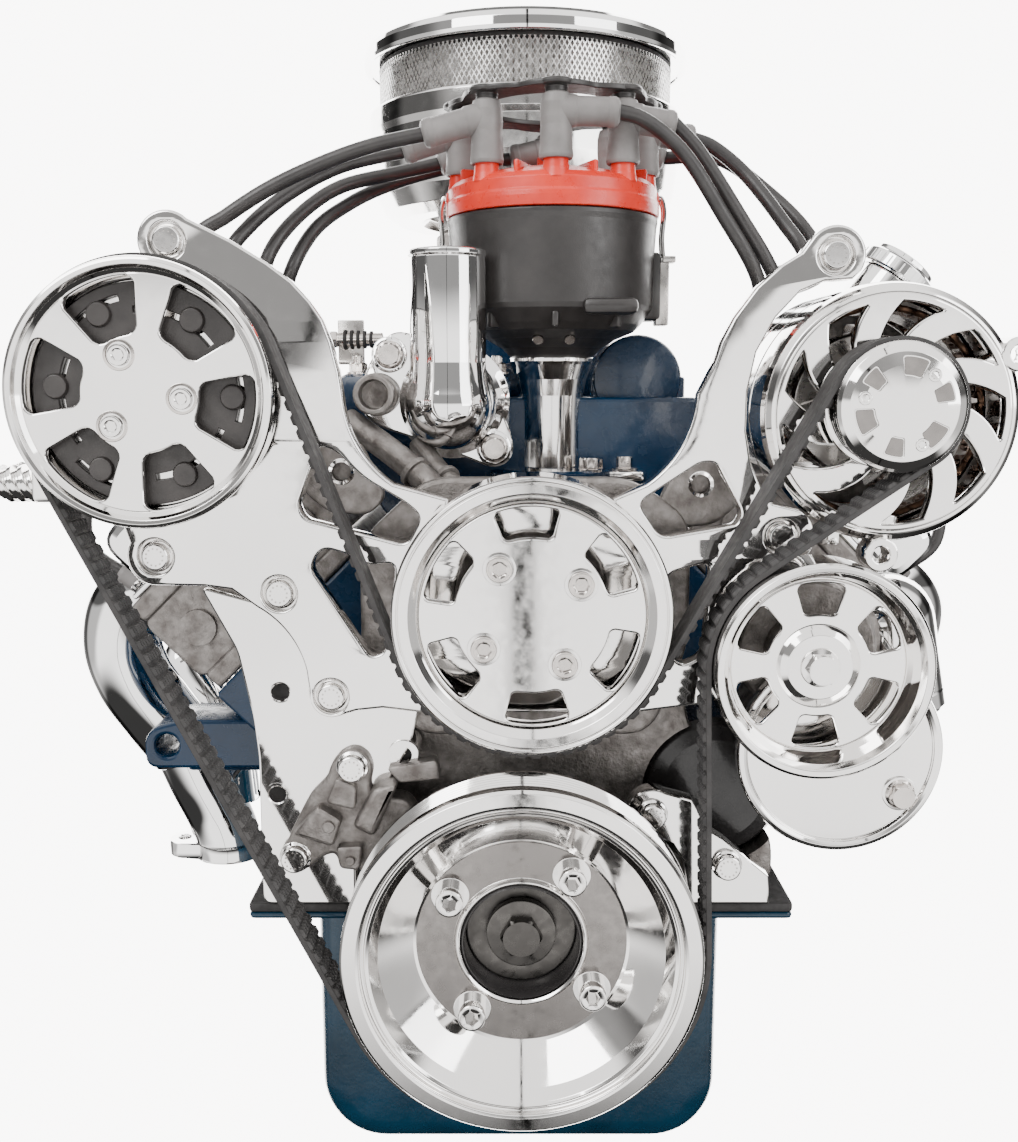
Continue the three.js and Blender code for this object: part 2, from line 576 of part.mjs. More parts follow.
// ---- brackets ---------------------------------------------------------------------------------
function arc(points, x, z, radius, from, to, steps) {
  for (let i = 0; i <= steps; i += 1) {
    const angle = THREE.MathUtils.degToRad(from + ((to - from) * i) / steps);
    points.push([x + radius * Math.cos(angle), z + radius * Math.sin(angle)]);
  }
}

function bracketOutline() {
  const edge = [];
  arc(edge, -177.9, 594.9, 15, 45, 225, 6);            // upper left ear
  edge.push([-196, 560], [-214, 520], [-214, 470]);
  arc(edge, -191.2, 434.9, 15, 150, 270, 5);           // lower ear of the compressor arm
  edge.push([-152, 418]);
  arc(edge, -165, 363, 52, 62, 12, 6);
  arc(edge, -101.3, 359.7, 11.4, 200, 285, 4);         // boss over the left foot bolt
  edge.push([-88, 352], [-74, 353.5], [-54, 351], [60, 351], [98, 356], [98, 378], [118, 398],
    [142, 428]);
  arc(edge, 135.2, 445.4, 17, -60, 60, 5);             // ear below the alternator
  edge.push([124, 466], [115, 500], [118, 540], [140, 572], [170, 577]);
  arc(edge, 157.4, 587.6, 15, -30, 150, 6);            // upper right ear
  edge.push([124, 578], [107, 556], [98, 535]);
  arc(edge, 30, 522, 60, -5, -55, 6);
  arc(edge, PUMP.x, PUMP.z, 68, 55, 125, 6);
  arc(edge, -32, 522, 60, -125, -175, 6);
  edge.push([-97, 545], [-107, 565], [-128, 584]);
  return shapeOf(edge);
}

function frontBracket() {
  const left = shapeOf([[-104, 493], [-116, 462], [-113, 455], [-60, 441], [-52, 456], [-60, 463],
    [-82, 476], [-96, 490]]);
  const right = shapeOf([[92, 484], [60, 463], [72, 445], [112, 452], [114, 458], [100, 484]]);
  const slot = shapeOf([[-104, 440], [-111, 430], [-80, 381], [-72, 384], [-66, 432], [-80, 430],
    [-90, 436]]);
  const notch = shapeOf([[76, 426], [98, 432], [96, 382], [84, 376], [74, 390]]);
  const body = joined(plate(bracketOutline(), PLATE.front, PLATE.back),
    bar(12, -101.3, 359.7, -373, -361 + 16, 20));
  const cuts = [left, right, slot, notch].map((shape) => plate(shape, PLATE.front - 1, PLATE.back + 1));
  const holes = [[-177.9, 594.9], [-191.2, 434.9], [-127.2, 415.3], [-101.3, 359.7], [157.4, 587.6],
    [135.2, 445.4]];
  const counterbores = holes.map(([x, z]) => bar(9.5, x, z, PLATE.front - 1, PLATE.front + 5, 8));
  return cut(body, ...cuts, ...counterbores, bar(33, PUMP.x, PUMP.z, -395, -340, 18),
    bar(32, COMPRESSOR.x, COMPRESSOR.z, -395, -340, 18),
    bar(ALT_BODY.radius + 0.6, ALT_BODY.x, ALT_BODY.z, -395, -340, 28));
}

function lowerLeftBracket() {
  const edge = [[-172, 417], [-153.5, 382], [-146, 345], [-143.7, 322], [-144, 254],
    [-143.8, BLOCK.rail + 0.4],
    [-92, BLOCK.rail + 0.4], [-92, 262], [-78, 300], [-60, 330], [-54, 360], [-110, 400]];
  return cut(plate(shapeOf(edge), LOWER.front, LOWER.back),
    bar(4.6, -130.7, 358.9, -380, -350, 12), bar(4.6, -134.1, 300.9, -380, -350, 12));
}

function lowerRightBracket() {
  const edge = [];
  arc(edge, 72.3, 290, 14, 70, 200, 6);
  edge.push([90, 262], [92, BLOCK.rail + 0.4], [138.5, BLOCK.rail + 0.4], [138, 253.5], [112, 275],
    [96, 300]);
  return plate(shapeOf(edge), LOWER.front, LOWER.back);
}
add('front_bracket_plate', frontBracket(), POLISHED);
add('lower_left_bracket', lowerLeftBracket().subtract(bar(13, -101.3, 359.7, -380, -340, 20)), POLISHED);
add('lower_right_bracket', joined(lowerRightBracket(), box(100, 130, -362, COVER.front - GAP, 244, 258)),
  POLISHED);

// ---- compressor -----------------------------------------------------------------------------------
add('ac_compressor', joined(turned([
  [0, -392], [22, -392], [22, -384], [30, -380], [30, -372.6], [58, -372.6], [58, -272], [50, -264],
  [0, -264],
]), box(-84, -40, -352, -300, -64, -20)), POLISHED, [COMPRESSOR.x, 0, COMPRESSOR.z]);
add('ac_pulley', turned([
  [24, -413], [COMPRESSOR.rim, -413], [COMPRESSOR.rim, -392.4], [58, -388], [24, -388], [24, -396],
  [12, -396], [12, -413],
], 24).subtract(turned([[0, -400], [22.5, -400], [22.5, -380], [0, -380]],
  24)), BLACK, [COMPRESSOR.x, 0, COMPRESSOR.z]);
add('ac_clutch_cover', cut(turned([
  [0, -421], [56, -421], [59, FRONT], [COMPRESSOR.cover, FRONT], [COMPRESSOR.cover, -418], [60, -416],
  [0, -416],
], 24), ...windows(6, 110, 29, 56, 20, -430, -410)), POLISHED, [COMPRESSOR.x, 0, COMPRESSOR.z]);

// ---- alternator -----------------------------------------------------------------------------------
function alternatorHousing() {
  const R = ALT_BODY.radius;
  const shell = turned([[14, -386], [R - 8, -386], [R, -378], [R, -290], [R - 8, -280], [14, -280],
    [14, -284], [R - 10, -284],
    [R - 5, -292], [R - 5, -374], [R - 10, -380], [14, -380]], 24);
  const ears = joined(bar(9, -3, -73, -386, -370, 18), bar(9, 62, 30, -386, -370, 18), box(-9, 3, -386,
    -370, -74, -60),
    box(-12, 0, -300, -284, -80, -60));
  const vents = windows(7, 20, 30, R - 12, 14, -390, -376);
  return cut(joined(shell, ears), ...vents, ...windows(3, 10, 26, R - 14, 35, -286, -278));
}
const altPosition = [ALT_BODY.x, 0, ALT_BODY.z];
add('alternator_housing', alternatorHousing()
  .subtract(bar(22, ALTERNATOR.x - ALT_BODY.x, ALTERNATOR.z - ALT_BODY.z, -400, -270, 20)), POLISHED,
    altPosition);
add('alternator_stator', turned([[52, -360], [61, -360], [61, -305], [52, -305]], 36), COPPER, altPosition);
add('alternator_rotor', joined(bar(8, 0, 0, -412, -285, 16), turned([[0, -355], [40, -355], [40, -310],
  [0, -310]], 32),
  bar(20, 0, 0, -372, -356 + 2, 20)), STEEL, [ALTERNATOR.x, 0, ALTERNATOR.z]);
add('alternator_pulley', cut(turned([
  [0, -424], [28, -422], [ALTERNATOR.cover, -418], [ALTERNATOR.cover, -417], [ALTERNATOR.rim, -417],
    [ALTERNATOR.rim, -395],
  [31, -394.5], [31, -391], [0, -391],
], 24), bar(8 + GAP, 0, 0, -413, -380, 16)), POLISHED, [ALTERNATOR.x, 0, ALTERNATOR.z]);

// ---- steering pump ----------------------------------------------------------------------------------
const CAN = { x: 170, z: 330, radius: 55 };
const pumpNose = (grow) => bar(20 + grow, STEERING.x, STEERING.z, -402, -366);
function steeringPump(grow) {
  return joined(pumpNose(grow), bar(38 + grow, STEERING.x + 4, STEERING.z, -373 - grow, -300, 24),
    bar(CAN.radius - 8 + grow, CAN.x, CAN.z, -373 - grow, -320, 24));
}
add('power_steering_pump', cut(steeringPump(0), bar(8.3, STEERING.x, STEERING.z, -410, -330),
  filterSolid(GAP)), CAST);
add('power_steering_shaft', joined(bar(8, 0, 0, -414, -340, 16), bar(8, 0, 0, -421, -414, 6)), STEEL,
  [STEERING.x, 0, STEERING.z]);
add('power_steering_pulley', cut(turned([
  [8 + GAP, -411], [22, -411], [40, -407], [48, -420], [51.8, FRONT], [STEERING.rim, FRONT],
  [STEERING.rim, -393],
  [50.5, -393], [50.5, -404], [40, -403], [8 + GAP, -405],
], 24), ...windows(6, 90, 26, 43, 17, -430, -395)), POLISHED, [STEERING.x, 0, STEERING.z]);
add('power_steering_cover', turned([
  [0, -386], [51, -386], [51, -389], [CAN.radius, -389], [CAN.radius, -380], [0, -373.4],
]).subtract(pumpNose(1).translate([-CAN.x, 0, -CAN.z])),
POLISHED, [CAN.x, 0, CAN.z]);
const reservoirTop = new THREE.SphereGeometry(28, 16, 8).translate(207, -334, 391);
add('power_steering_reservoir', joined(rod(28, [217, -334, 338], [207, -334, 391], 16), solid(reservoirTop))
  .subtract(steeringPump(GAP)), CHROME);

// ---- exhaust headers ----------------------------------------------------------------------------------
const COLLECTOR = { left: -114, right: 100, x: 226, drop: 160 };
// The front cylinder's pipe is a fat one that bows out beside the head before it drops to the collector.
const FRONT_TUBE = [[252, 0, 366], [270, 0, 376], [288, 0.05, 362], [295, 0.15, 334], [289, 0.3, 306],
  [275, 0.5, 280], [257, 0.8, 250], [236, 0.95, 214]];
function frontTube(side, outlet) {
  const y = exhaustPort(0);
  const face = deckPoint(side, 73 + GAP, 40);
  const route = FRONT_TUBE.map(([x, t, z]) => [side * x, y + t * (outlet - y), z]);
  return swept([[face[0], y, face[1]], ...route], 29, 9, 8);
}

function header(side, outlet) {
  const face = deckPoint(side, 73 + GAP, 40);
  const out = deckPoint(side, 98, 40);
  const foot = side * COLLECTOR.x;
  let body = bankPrism(side, 70 + GAP, 78, 18, 62, -190, 235);
  for (let port = 1; port < 4; port += 1) {
    const y = exhaustPort(port);
    const run = outlet - y;
    const reach = face[0] + side * 50;
    const route = [[face[0], y, face[1]], [out[0], y, out[1]], [reach, y + run * 0.15, face[1] - 58],
      [side * (234 + 3 * port), y + run * 0.75, 250], [foot, outlet - run * 0.08, 205]];
    body = joined(body, swept(route, 19, 6, 6));
  }
  body = joined(body, frontTube(side, outlet));
  body = joined(body, rod(40, [foot, outlet, 232], [foot, outlet, 172], 16, 32),
    slab(flangeOutline(foot, outlet), COLLECTOR.drop, COLLECTOR.drop + 13));
  return cut(body, rod(26, [foot, outlet, COLLECTOR.drop - 10], [foot, outlet, 200], 14),
    bankPrism(side, -90, 70 + GAP, -20, 200, -260, 260));
}

function flangeOutline(x, y) {
  const edge = [];
  arc(edge, x + 32, y, 16, -80, 80, 5);
  arc(edge, x - 32, y, 16, 100, 260, 5);
  return shapeOf(edge);
}
add('exhaust_header_left', header(-1, COLLECTOR.left), CHROME);
add('exhaust_header_right', header(1, COLLECTOR.right), CHROME);

// ---- oil filter and filler ---------------------------------------------------------------------------
add('oil_filter', filterSolid(0), BLACK);
const footPoint = new THREE.Vector3(...FILLER.foot);
const mouthPoint = new THREE.Vector3(...FILLER.mouth);
const along = (t) => footPoint.clone().lerp(mouthPoint, t).toArray();
add('oil_filler_neck', cut(joined(rod(24, along(0), along(0.86), 28), rod(31, along(0), along(0.1), 28)),
  rod(20, along(0.3), along(1), 24), valveCover(1)), CHROME);
add('oil_filler_cap', joined(rod(30, along(0.865), along(0.95), 28), rod(26, along(0.94), along(1), 28),
  rod(19, along(0.75), along(0.9), 24)), CHROME);

// ---- belt ------------------------------------------------------------------------------------------------
// The loop runs anticlockwise: ribbed side on the crank, alternator and compressor, back on the other two.
function beltPath(offset) {
  const half = BELT.thick / 2 + 0.35;
  const wheels = [
    { ...CRANK, r: CRANK_RIM + half, turn: 1 }, { ...STEERING, r: STEERING.rim + half, turn: -1 },
    { ...ALTERNATOR, r: ALTERNATOR.rim + half, turn: 1 }, { ...PUMP, r: PUMP.rim + half, turn: -1 },
    { ...COMPRESSOR, r: COMPRESSOR.rim + half, turn: 1 },
  ].map((wheel) => ({ ...wheel, r: wheel.r + wheel.turn * offset }));
  const normals = wheels.map((wheel, i) => {
    const next = wheels[(i + 1) % wheels.length];
    const [ex, ez] = [next.x - wheel.x, next.z - wheel.z];
    const reach = next.turn * next.r - wheel.turn * wheel.r;
    return Math.atan2(ez, ex) + Math.acos(reach / Math.hypot(ex, ez));
  });
  const path = new THREE.Path();
  wheels.forEach((wheel, i) => {
    const arrive = normals[(i + wheels.length - 1) % wheels.length];
    const turnAway = wheel.turn > 0 ? Math.PI : 0;
    path.absarc(wheel.x, wheel.z, wheel.r, arrive + turnAway, normals[i] + turnAway, wheel.turn < 0);
  });
  path.closePath();
  return path;
}
const beltShape = new THREE.Shape(beltPath(BELT.thick / 2).getPoints(8));
beltShape.holes.push(new THREE.Path(beltPath(-BELT.thick / 2).getPoints(8)));
add('serpentine_belt', plate(beltShape, BELT.front, BELT.back), RUBBER);

export default engine;
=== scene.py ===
# The looks of a dressed V8 engine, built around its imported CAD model. Shapes are given in millimetres.
import math

import bmesh
import bpy
from mathutils import Matrix, Vector


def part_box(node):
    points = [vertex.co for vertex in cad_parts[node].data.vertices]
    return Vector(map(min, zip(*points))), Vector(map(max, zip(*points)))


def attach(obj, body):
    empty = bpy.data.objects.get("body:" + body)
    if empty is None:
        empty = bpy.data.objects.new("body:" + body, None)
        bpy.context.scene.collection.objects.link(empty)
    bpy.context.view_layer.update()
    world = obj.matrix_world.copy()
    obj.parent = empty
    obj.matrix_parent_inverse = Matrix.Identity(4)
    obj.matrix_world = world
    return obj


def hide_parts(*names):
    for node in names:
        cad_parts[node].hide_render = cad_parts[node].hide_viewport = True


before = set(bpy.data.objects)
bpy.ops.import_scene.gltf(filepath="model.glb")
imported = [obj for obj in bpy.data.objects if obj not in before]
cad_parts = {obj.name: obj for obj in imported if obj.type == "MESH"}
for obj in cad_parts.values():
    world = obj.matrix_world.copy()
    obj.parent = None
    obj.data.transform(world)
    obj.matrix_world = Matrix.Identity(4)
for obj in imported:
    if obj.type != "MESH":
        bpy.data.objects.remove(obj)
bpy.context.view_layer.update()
MM = 0.001


def polar(x, z, radius, degrees):
    angle = math.radians(degrees)
    return x + radius * math.cos(angle), z + radius * math.sin(angle)


# ---- camera -----------------------------------------------------------------------------
def make_camera():
    data = bpy.data.cameras.new("camera")
    camera = bpy.data.objects.new("camera", data)
    data.sensor_width = 36.0
    data.lens = 36.44
    data.clip_end = 50
    camera.location = Vector((-6.7, -981.0, 523.0)) * MM
    camera.rotation_euler = (math.radians(90 - 9.1), 0, 0)
    bpy.context.collection.objects.link(camera)
    bpy.context.scene.camera = camera


# ---- materials --------------------------------------------------------------------------
class Shader:
    """Builds one node material step by step."""

    def __init__(self, name, color, roughness, metallic=0.0, **sockets):
        self.material = bpy.data.materials.new(name)
        self.material.use_nodes = True
        self.tree = self.material.node_tree
        self.base = self.tree.nodes["Principled BSDF"]
        self.base.inputs["Base Color"].default_value = (*color, 1)
        self.base.inputs["Roughness"].default_value = roughness
        self.base.inputs["Metallic"].default_value = metallic
        for key, value in sockets.items():
            self.base.inputs[key.replace("_", " ")].default_value = value
        self.place = self.tree.nodes.new("ShaderNodeTexCoord").outputs["Object"]

    def node(self, kind, **settings):
        made = self.tree.nodes.new(kind)
        for key, value in settings.items():
            if hasattr(made, key):
                setattr(made, key, value)
            else:
                made.inputs[key.replace("_", " ")].default_value = value
        return made

    def link(self, source, target):
        self.tree.links.new(source, target)

    def noise(self, scale, detail=4.0, stretch=(1, 1, 1)):
        """Noise with about one lump every scale millimetres."""
        mapping = self.node("ShaderNodeMapping")
        mapping.inputs["Scale"].default_value = [1 / (scale * MM) * s for s in stretch]
        self.link(self.place, mapping.inputs["Vector"])
        made = self.node("ShaderNodeTexNoise", Detail=detail)
        made.inputs["Scale"].default_value = 1.0
        self.link(mapping.outputs["Vector"], made.inputs["Vector"])
        return made.outputs["Fac"]

    def ramp(self, source, stops):
        made = self.node("ShaderNodeValToRGB")
        elements = made.color_ramp.elements
        while len(elements) < len(stops):
            elements.new(0.5)
        for element, (at, color) in zip(elements, stops):
            element.position = at
            element.color = (*color, 1) if len(color) == 3 else color
        self.link(source, made.inputs["Fac"])
        return made.outputs["Color"]

    def span(self, source, low, high, socket):
        """Sends source, mapped to the range low to high, to a socket of the shader."""
        made = self.node("ShaderNodeMapRange")
        made.inputs["From Min"].default_value = 0.3
        made.inputs["From Max"].default_value = 0.7
        made.inputs["To Min"].default_value = low
        made.inputs["To Max"].default_value = high
        self.link(source, made.inputs["Value"])
        self.link(made.outputs["Result"], self.base.inputs[socket])
        return self

    def color(self, source, stops):
        self.link(self.ramp(source, stops), self.base.inputs["Base Color"])
        return self

    def bump(self, source, height, strength=1.0):
        """Relief of that height, in millimetres, on top of any bump already there."""
        made = self.node("ShaderNodeBump")
        made.inputs["Distance"].default_value = height * MM
        made.inputs["Strength"].default_value = strength
        self.link(source, made.inputs["Height"])
        before = self.base.inputs["Normal"].links
        if before:
            self.link(before[0].from_socket, made.inputs["Normal"])
        self.link(made.outputs["Normal"], self.base.inputs["Normal"])
        return self


def metal(name, color, roughness, wave, wave_height, spread=0.5):
    shader = Shader(name, color, roughness, 1.0)
    broad = shader.noise(wave, 2.0)
    shader.bump(broad, wave_height)
    shader.span(shader.noise(6, 5.0), roughness * (1 - spread), roughness * (1 + spread), "Roughness")
    darker = [c * 0.93 for c in color]
    shader.color(shader.noise(wave * 1.7, 3.0), [(0.35, darker), (0.62, color)])
    return shader


POLISHED = metal("polished_aluminium", (0.90, 0.885, 0.87), 0.07, 60, 0.05).material
CHROME = metal("chrome_plate", (0.93, 0.925, 0.92), 0.035, 45, 0.05).material
TURNED = metal("turned_aluminium", (0.88, 0.865, 0.85), 0.10, 50, 0.02).material
STEEL = metal("machined_steel", (0.52, 0.50, 0.48), 0.28, 30, 0.02, 0.15).material
PLATED = metal("plated_bolt", (0.62, 0.58, 0.55), 0.2, 10, 0.03).material


def cast_metal():
    shader = Shader("cast_aluminium", (0.30, 0.275, 0.26), 0.5, 0.9)
    shader.color(shader.noise(9, 6.0), [(0.3, (0.15, 0.135, 0.126)), (0.7, (0.33, 0.31, 0.295))])
    shader.span(shader.noise(4, 5.0), 0.38, 0.62, "Roughness")
    return shader.bump(shader.noise(1.6, 5.0), 0.35).material


def enamel(name, dark, light):
    shader = Shader(name, light, 0.2, 0.0, Coat_Weight=0.25, Coat_Roughness=0.08, Specular_IOR_Level=0.3)
    shader.color(shader.noise(40, 5.0), [(0.3, dark), (0.7, light)])
    shader.span(shader.noise(12, 5.0), 0.2, 0.32, "Roughness")
    shader.bump(shader.noise(2.2, 3.0), 0.1)
    return shader.bump(shader.noise(14, 4.0), 0.25).material


def plastic(name, dark, light, roughness, grain, grain_height):
    shader = Shader(name, light, roughness, 0.0, Specular_IOR_Level=0.5)
    shader.color(shader.noise(18, 5.0), [(0.3, dark), (0.7, light)])
    shader.span(shader.noise(5, 4.0), roughness * 0.8, roughness * 1.25, "Roughness")
    return shader.bump(shader.noise(grain, 3.0), grain_height).material


CAST = cast_metal()
BLUE = enamel("blue_enamel", (0.001, 0.013, 0.036), (0.002, 0.028, 0.072))
PAN_BLUE = enamel("pan_enamel", (0.001, 0.015, 0.03), (0.003, 0.028, 0.055))
BLACK_ENAMEL = enamel("black_enamel", (0.012, 0.011, 0.011), (0.03, 0.028, 0.028))
RED = plastic("red_cap", (0.60, 0.022, 0.010), (0.76, 0.042, 0.020), 0.3, 1.5, 0.04)
CHARCOAL = plastic("charcoal_plastic", (0.016, 0.014, 0.0135), (0.03, 0.027, 0.026), 0.36, 0.8, 0.05)
BOOT = plastic("boot_rubber", (0.16, 0.15, 0.146), (0.24, 0.228, 0.222), 0.5, 1.2, 0.06)
LEAD_MAT = plastic("lead_silicone", (0.02, 0.018, 0.018), (0.036, 0.033, 0.032), 0.36, 0.9, 0.04)
RUBBER = plastic("belt_rubber", (0.018, 0.017, 0.017), (0.045, 0.042, 0.041), 0.6, 0.7, 0.08)
CLUTCH_BLACK = plastic("clutch_black", (0.02, 0.017, 0.016), (0.045, 0.04, 0.038), 0.42, 1.0, 0.06)
COPPER = metal("varnished_copper", (0.17, 0.10, 0.065), 0.4, 8, 0.1).material
# A darker metal that paints shade: on the crank pulley's flange deep in its bowl, and on the alternator
# pulley's pocket floors.
PAINTED_SHADE = metal("painted_shade_metal", (0.24, 0.225, 0.215), 0.2, 30, 0.05).material
DARK_STEEL = metal("dark_steel", (0.10, 0.095, 0.09), 0.34, 14, 0.08).material
GAUZE = plastic("filter_gauze", (0.62, 0.6, 0.58), (0.8, 0.78, 0.76), 0.7, 1.0, 0.1)
WIRE = metal("gauze_wire", (0.88, 0.87, 0.86), 0.25, 6, 0.02).material
# Black rubber for gaskets, seals and bumpers; the same black also fills two bracket holes and a sleeve's bore
# as painted shade.
GASKET_AND_HOLE_SHADE = plastic("gasket_black_and_hole_shade", (0.014, 0.013, 0.013), (0.03, 0.028, 0.028), 0.7, 0.6, 0.1)


# ---- shapes, in millimetres -----------------------------------------------------------------
def arc(x, z, radius, start, stop, steps):
    return [polar(x, z, radius, start + (stop - start) * i / steps) for i in range(steps + 1)]


def fillet(points, radius, steps=4):
    """Rounds the inner corners of an open line of (r, t) points, with a support point beside each round."""
    made = [points[0]]
    for before, here, after in zip(points, points[1:], points[2:]):
        back, ahead = Vector(before) - Vector(here), Vector(after) - Vector(here)
        if back.length < 1e-6 or ahead.length < 1e-6:
            made.append(here)
            continue
        turn_angle = back.angle(ahead, math.pi)
        if turn_angle > 3.05:
            made.append(here)
            continue
        cut = min(radius / math.tan(turn_angle / 2), back.length * 0.42, ahead.length * 0.42)
        first, last = Vector(here) + back.normalized() * cut, Vector(here) + ahead.normalized() * cut
        hold = min(0.25, cut * 0.4)
        made.append(tuple(first + back.normalized() * hold))
        for i in range(steps + 1):
            t = i / steps
            point = first * (1 - t) ** 2 + Vector(here) * 2 * t * (1 - t) + last * t * t
            made.append(tuple(point))
        made.append(tuple(last + ahead.normalized() * hold))
    made.append(points[-1])
    return made


def axes(along):
    """Two directions square to along: for a fore-and-aft axis they are +X and +Z."""
    along = Vector(along).normalized()
    if abs(along.y) > 0.999:
        return Vector((1, 0, 0)), Vector((0, 0, 1))
    if abs(along.z) > 0.999:
        return Vector((1, 0, 0)), Vector((0, 1, 0))
    side = along.cross(Vector((0, 0, 1))).normalized()
    return side, side.cross(along)


def turn(profile, start, along, segments=96, roll=0.0):
    """A body of revolution. A profile entry is (radius, distance), with a number of sides for a polygon."""
    start, along = Vector(start), Vector(along).normalized()
    side, other = axes(along)
    points, rings = [], []
    for entry in profile:
        radius, distance = entry[0], entry[1]
        centre = start + along * distance
        if radius < 1e-6:
            rings.append([len(points)])
            points.append(centre)
            continue
        ring = []
        for i in range(segments):
            angle = 2 * math.pi * i / segments
            reach = radius
            if len(entry) > 2:
                wedge = 2 * math.pi / entry[2]
                reach = radius * math.cos(wedge / 2) / math.cos(angle % wedge - wedge / 2)
            angle += math.radians(roll)
            ring.append(len(points))
            points.append(centre + side * reach * math.cos(angle) + other * reach * math.sin(angle))
        rings.append(ring)
    faces = []
    for low, high in zip(rings, rings[1:]):
        for i in range(segments):
            j = (i + 1) % segments
            quad = [low[i % len(low)], low[j % len(low)], high[j % len(high)], high[i % len(high)]]
            kept = [v for k, v in enumerate(quad) if v != quad[k - 1]]
            if len(kept) > 2:
                faces.append(kept)
    return points, faces


def across(profile, x, z, segments=96, roll=0.0):
    """A body of revolution about a fore-and-aft axis: profile is (radius, y)."""
    return turn(profile, (x, 0, z), (0, 1, 0), segments, roll)


def upright(profile, x, y, segments=96, roll=0.0):
    return turn(profile, (x, y, 0), (0, 0, 1), segments, roll)


def plate(loops, y0, y1, bevel=0.7, steps=2):
    """A flat plate across the engine, from loops of (x, z): the outline, then its holes."""
    curve = bpy.data.curves.new("outline", "CURVE")
    curve.dimensions = "2D"
    curve.fill_mode = "BOTH"
    curve.extrude = (y1 - y0) / 2 - bevel
    curve.bevel_depth = bevel
    curve.bevel_resolution = steps - 1
    curve.offset = -bevel
    for loop in loops:
        spline = curve.splines.new("POLY")
        spline.points.add(len(loop) - 1)
        for point, (x, z) in zip(spline.points, loop):
            point.co = (x, z, 0, 1)
        spline.use_cyclic_u = True
    holder = bpy.data.objects.new("outline", curve)
    bpy.context.collection.objects.link(holder)
    graph = bpy.context.evaluated_depsgraph_get()
    mesh = holder.evaluated_get(graph).to_mesh()
    points = [Vector((v.co.x, (y0 + y1) / 2 - v.co.z, v.co.y)) for v in mesh.vertices]
    faces = [list(p.vertices) for p in mesh.polygons]
    bpy.data.objects.remove(holder)
    bpy.data.curves.remove(curve)
    return points, faces


def level_plate(loops, z0, z1, bevel, steps=3):
    """A flat plate that lies level: its loops are drawn in X and Y."""
    points, faces = plate(loops, z0, z1, bevel, steps)
    return [Vector((p.x, p.z, p.y)) for p in points], faces


def bolt_head(start, along, washer, radius, height, chamfer=0.8, crown=0.6, flange=1.2, segments=36):
    """A hexagon head on its round flange, standing off a face in any direction."""
    top = height + crown
    return turn([(washer, 0), (washer, flange), (radius, flange + 0.4, 6), (radius, height, 6),
                 (radius - chamfer, top), (0, top)], start, along, segments)


def turned_about(shape, centre, axis, degrees):
    spin = Matrix.Translation(centre) @ Matrix.Rotation(math.radians(degrees), 4, axis)
    spin = spin @ Matrix.Translation(-Vector(centre))
    return [spin @ Vector(p) for p in shape[0]], shape[1]


def box(x0, x1, y0, y1, z0, z1, bevel=1.0):
    """A block with softened edges."""
    made = bmesh.new()
    bmesh.ops.create_cube(made, size=1.0)
    for vert in made.verts:
        vert.co = Vector(((x0 + x1) / 2 + vert.co.x * (x1 - x0), (y0 + y1) / 2 + vert.co.y * (y1 - y0),
                          (z0 + z1) / 2 + vert.co.z * (z1 - z0)))
    bmesh.ops.bevel(made, geom=made.edges[:], offset=bevel, segments=2, affect="EDGES", profile=0.5)
    made.verts.ensure_lookup_table()
    points = [v.co.copy() for v in made.verts]
    faces = [[v.index for v in f.verts] for f in made.faces]
    made.free()
    return points, faces


def smooth_line(points, steps):
    """Points along a centripetal Catmull-Rom curve through the given ones."""
    knots = [Vector(p) for p in points]
    knots = [knots[0] * 2 - knots[1], *knots, knots[-1] * 2 - knots[-2]]
    line = []
    for a, b, c, d in zip(knots, knots[1:], knots[2:], knots[3:]):
        t0 = 0.0
        t1 = t0 + math.sqrt((b - a).length)
        t2 = t1 + math.sqrt((c - b).length)
        t3 = t2 + math.sqrt((d - c).length)
        for i in range(steps):
            t = t1 + (t2 - t1) * i / steps
            ab = a * ((t1 - t) / (t1 - t0)) + b * ((t - t0) / (t1 - t0))
            bc = b * ((t2 - t) / (t2 - t1)) + c * ((t - t1) / (t2 - t1))
            cd = c * ((t3 - t) / (t3 - t2)) + d * ((t - t2) / (t3 - t2))
            abc = ab * ((t2 - t) / (t2 - t0)) + bc * ((t - t0) / (t2 - t0))
            bcd = bc * ((t3 - t) / (t3 - t1)) + cd * ((t - t1) / (t3 - t1))
            line.append(abc * ((t2 - t) / (t2 - t1)) + bcd * ((t - t1) / (t2 - t1)))
    return line + [Vector(points[-1])]


def sweep(points, radius, steps=10, sides=20, closed_ends=True):
    """A round bar along a smooth line. The radius may be a function of the way along, from 0 to 1."""
    line = smooth_line(points, steps)
    reach = radius if callable(radius) else lambda t: radius
    tangent = (line[1] - line[0]).normalized()
    side = tangent.orthogonal().normalized()
    verts, faces = [], []
    for i, centre in enumerate(line):
        ahead = line[min(i + 1, len(line) - 1)] - line[max(i - 1, 0)]
        fresh = ahead.normalized()
        side = (tangent.rotation_difference(fresh) @ side).normalized()
        side = (side - fresh * side.dot(fresh)).normalized()
        tangent = fresh
        other = tangent.cross(side)
        size = reach(i / (len(line) - 1))
        for k in range(sides):
            angle = 2 * math.pi * k / sides
            verts.append(centre + (side * math.cos(angle) + other * math.sin(angle)) * size)
    for i in range(len(line) - 1):
        for k in range(sides):
            n = (k + 1) % sides
            faces.append([i * sides + k, i * sides + n, (i + 1) * sides + n, (i + 1) * sides + k])
    if closed_ends:
        faces.append(list(range(sides)))
        faces.append(list(range((len(line) - 1) * sides, len(line) * sides)))
    return verts, faces


def rod(radius, start, end, bevel=0.6, segments=48):
    """A round bar with softened ends."""
    start, end = Vector(start), Vector(end)
    length = (end - start).length
    profile = fillet([(0, 0), (radius, 0), (radius, length), (0, length)], bevel, 2)
    return turn(profile, start, end - start, segments)


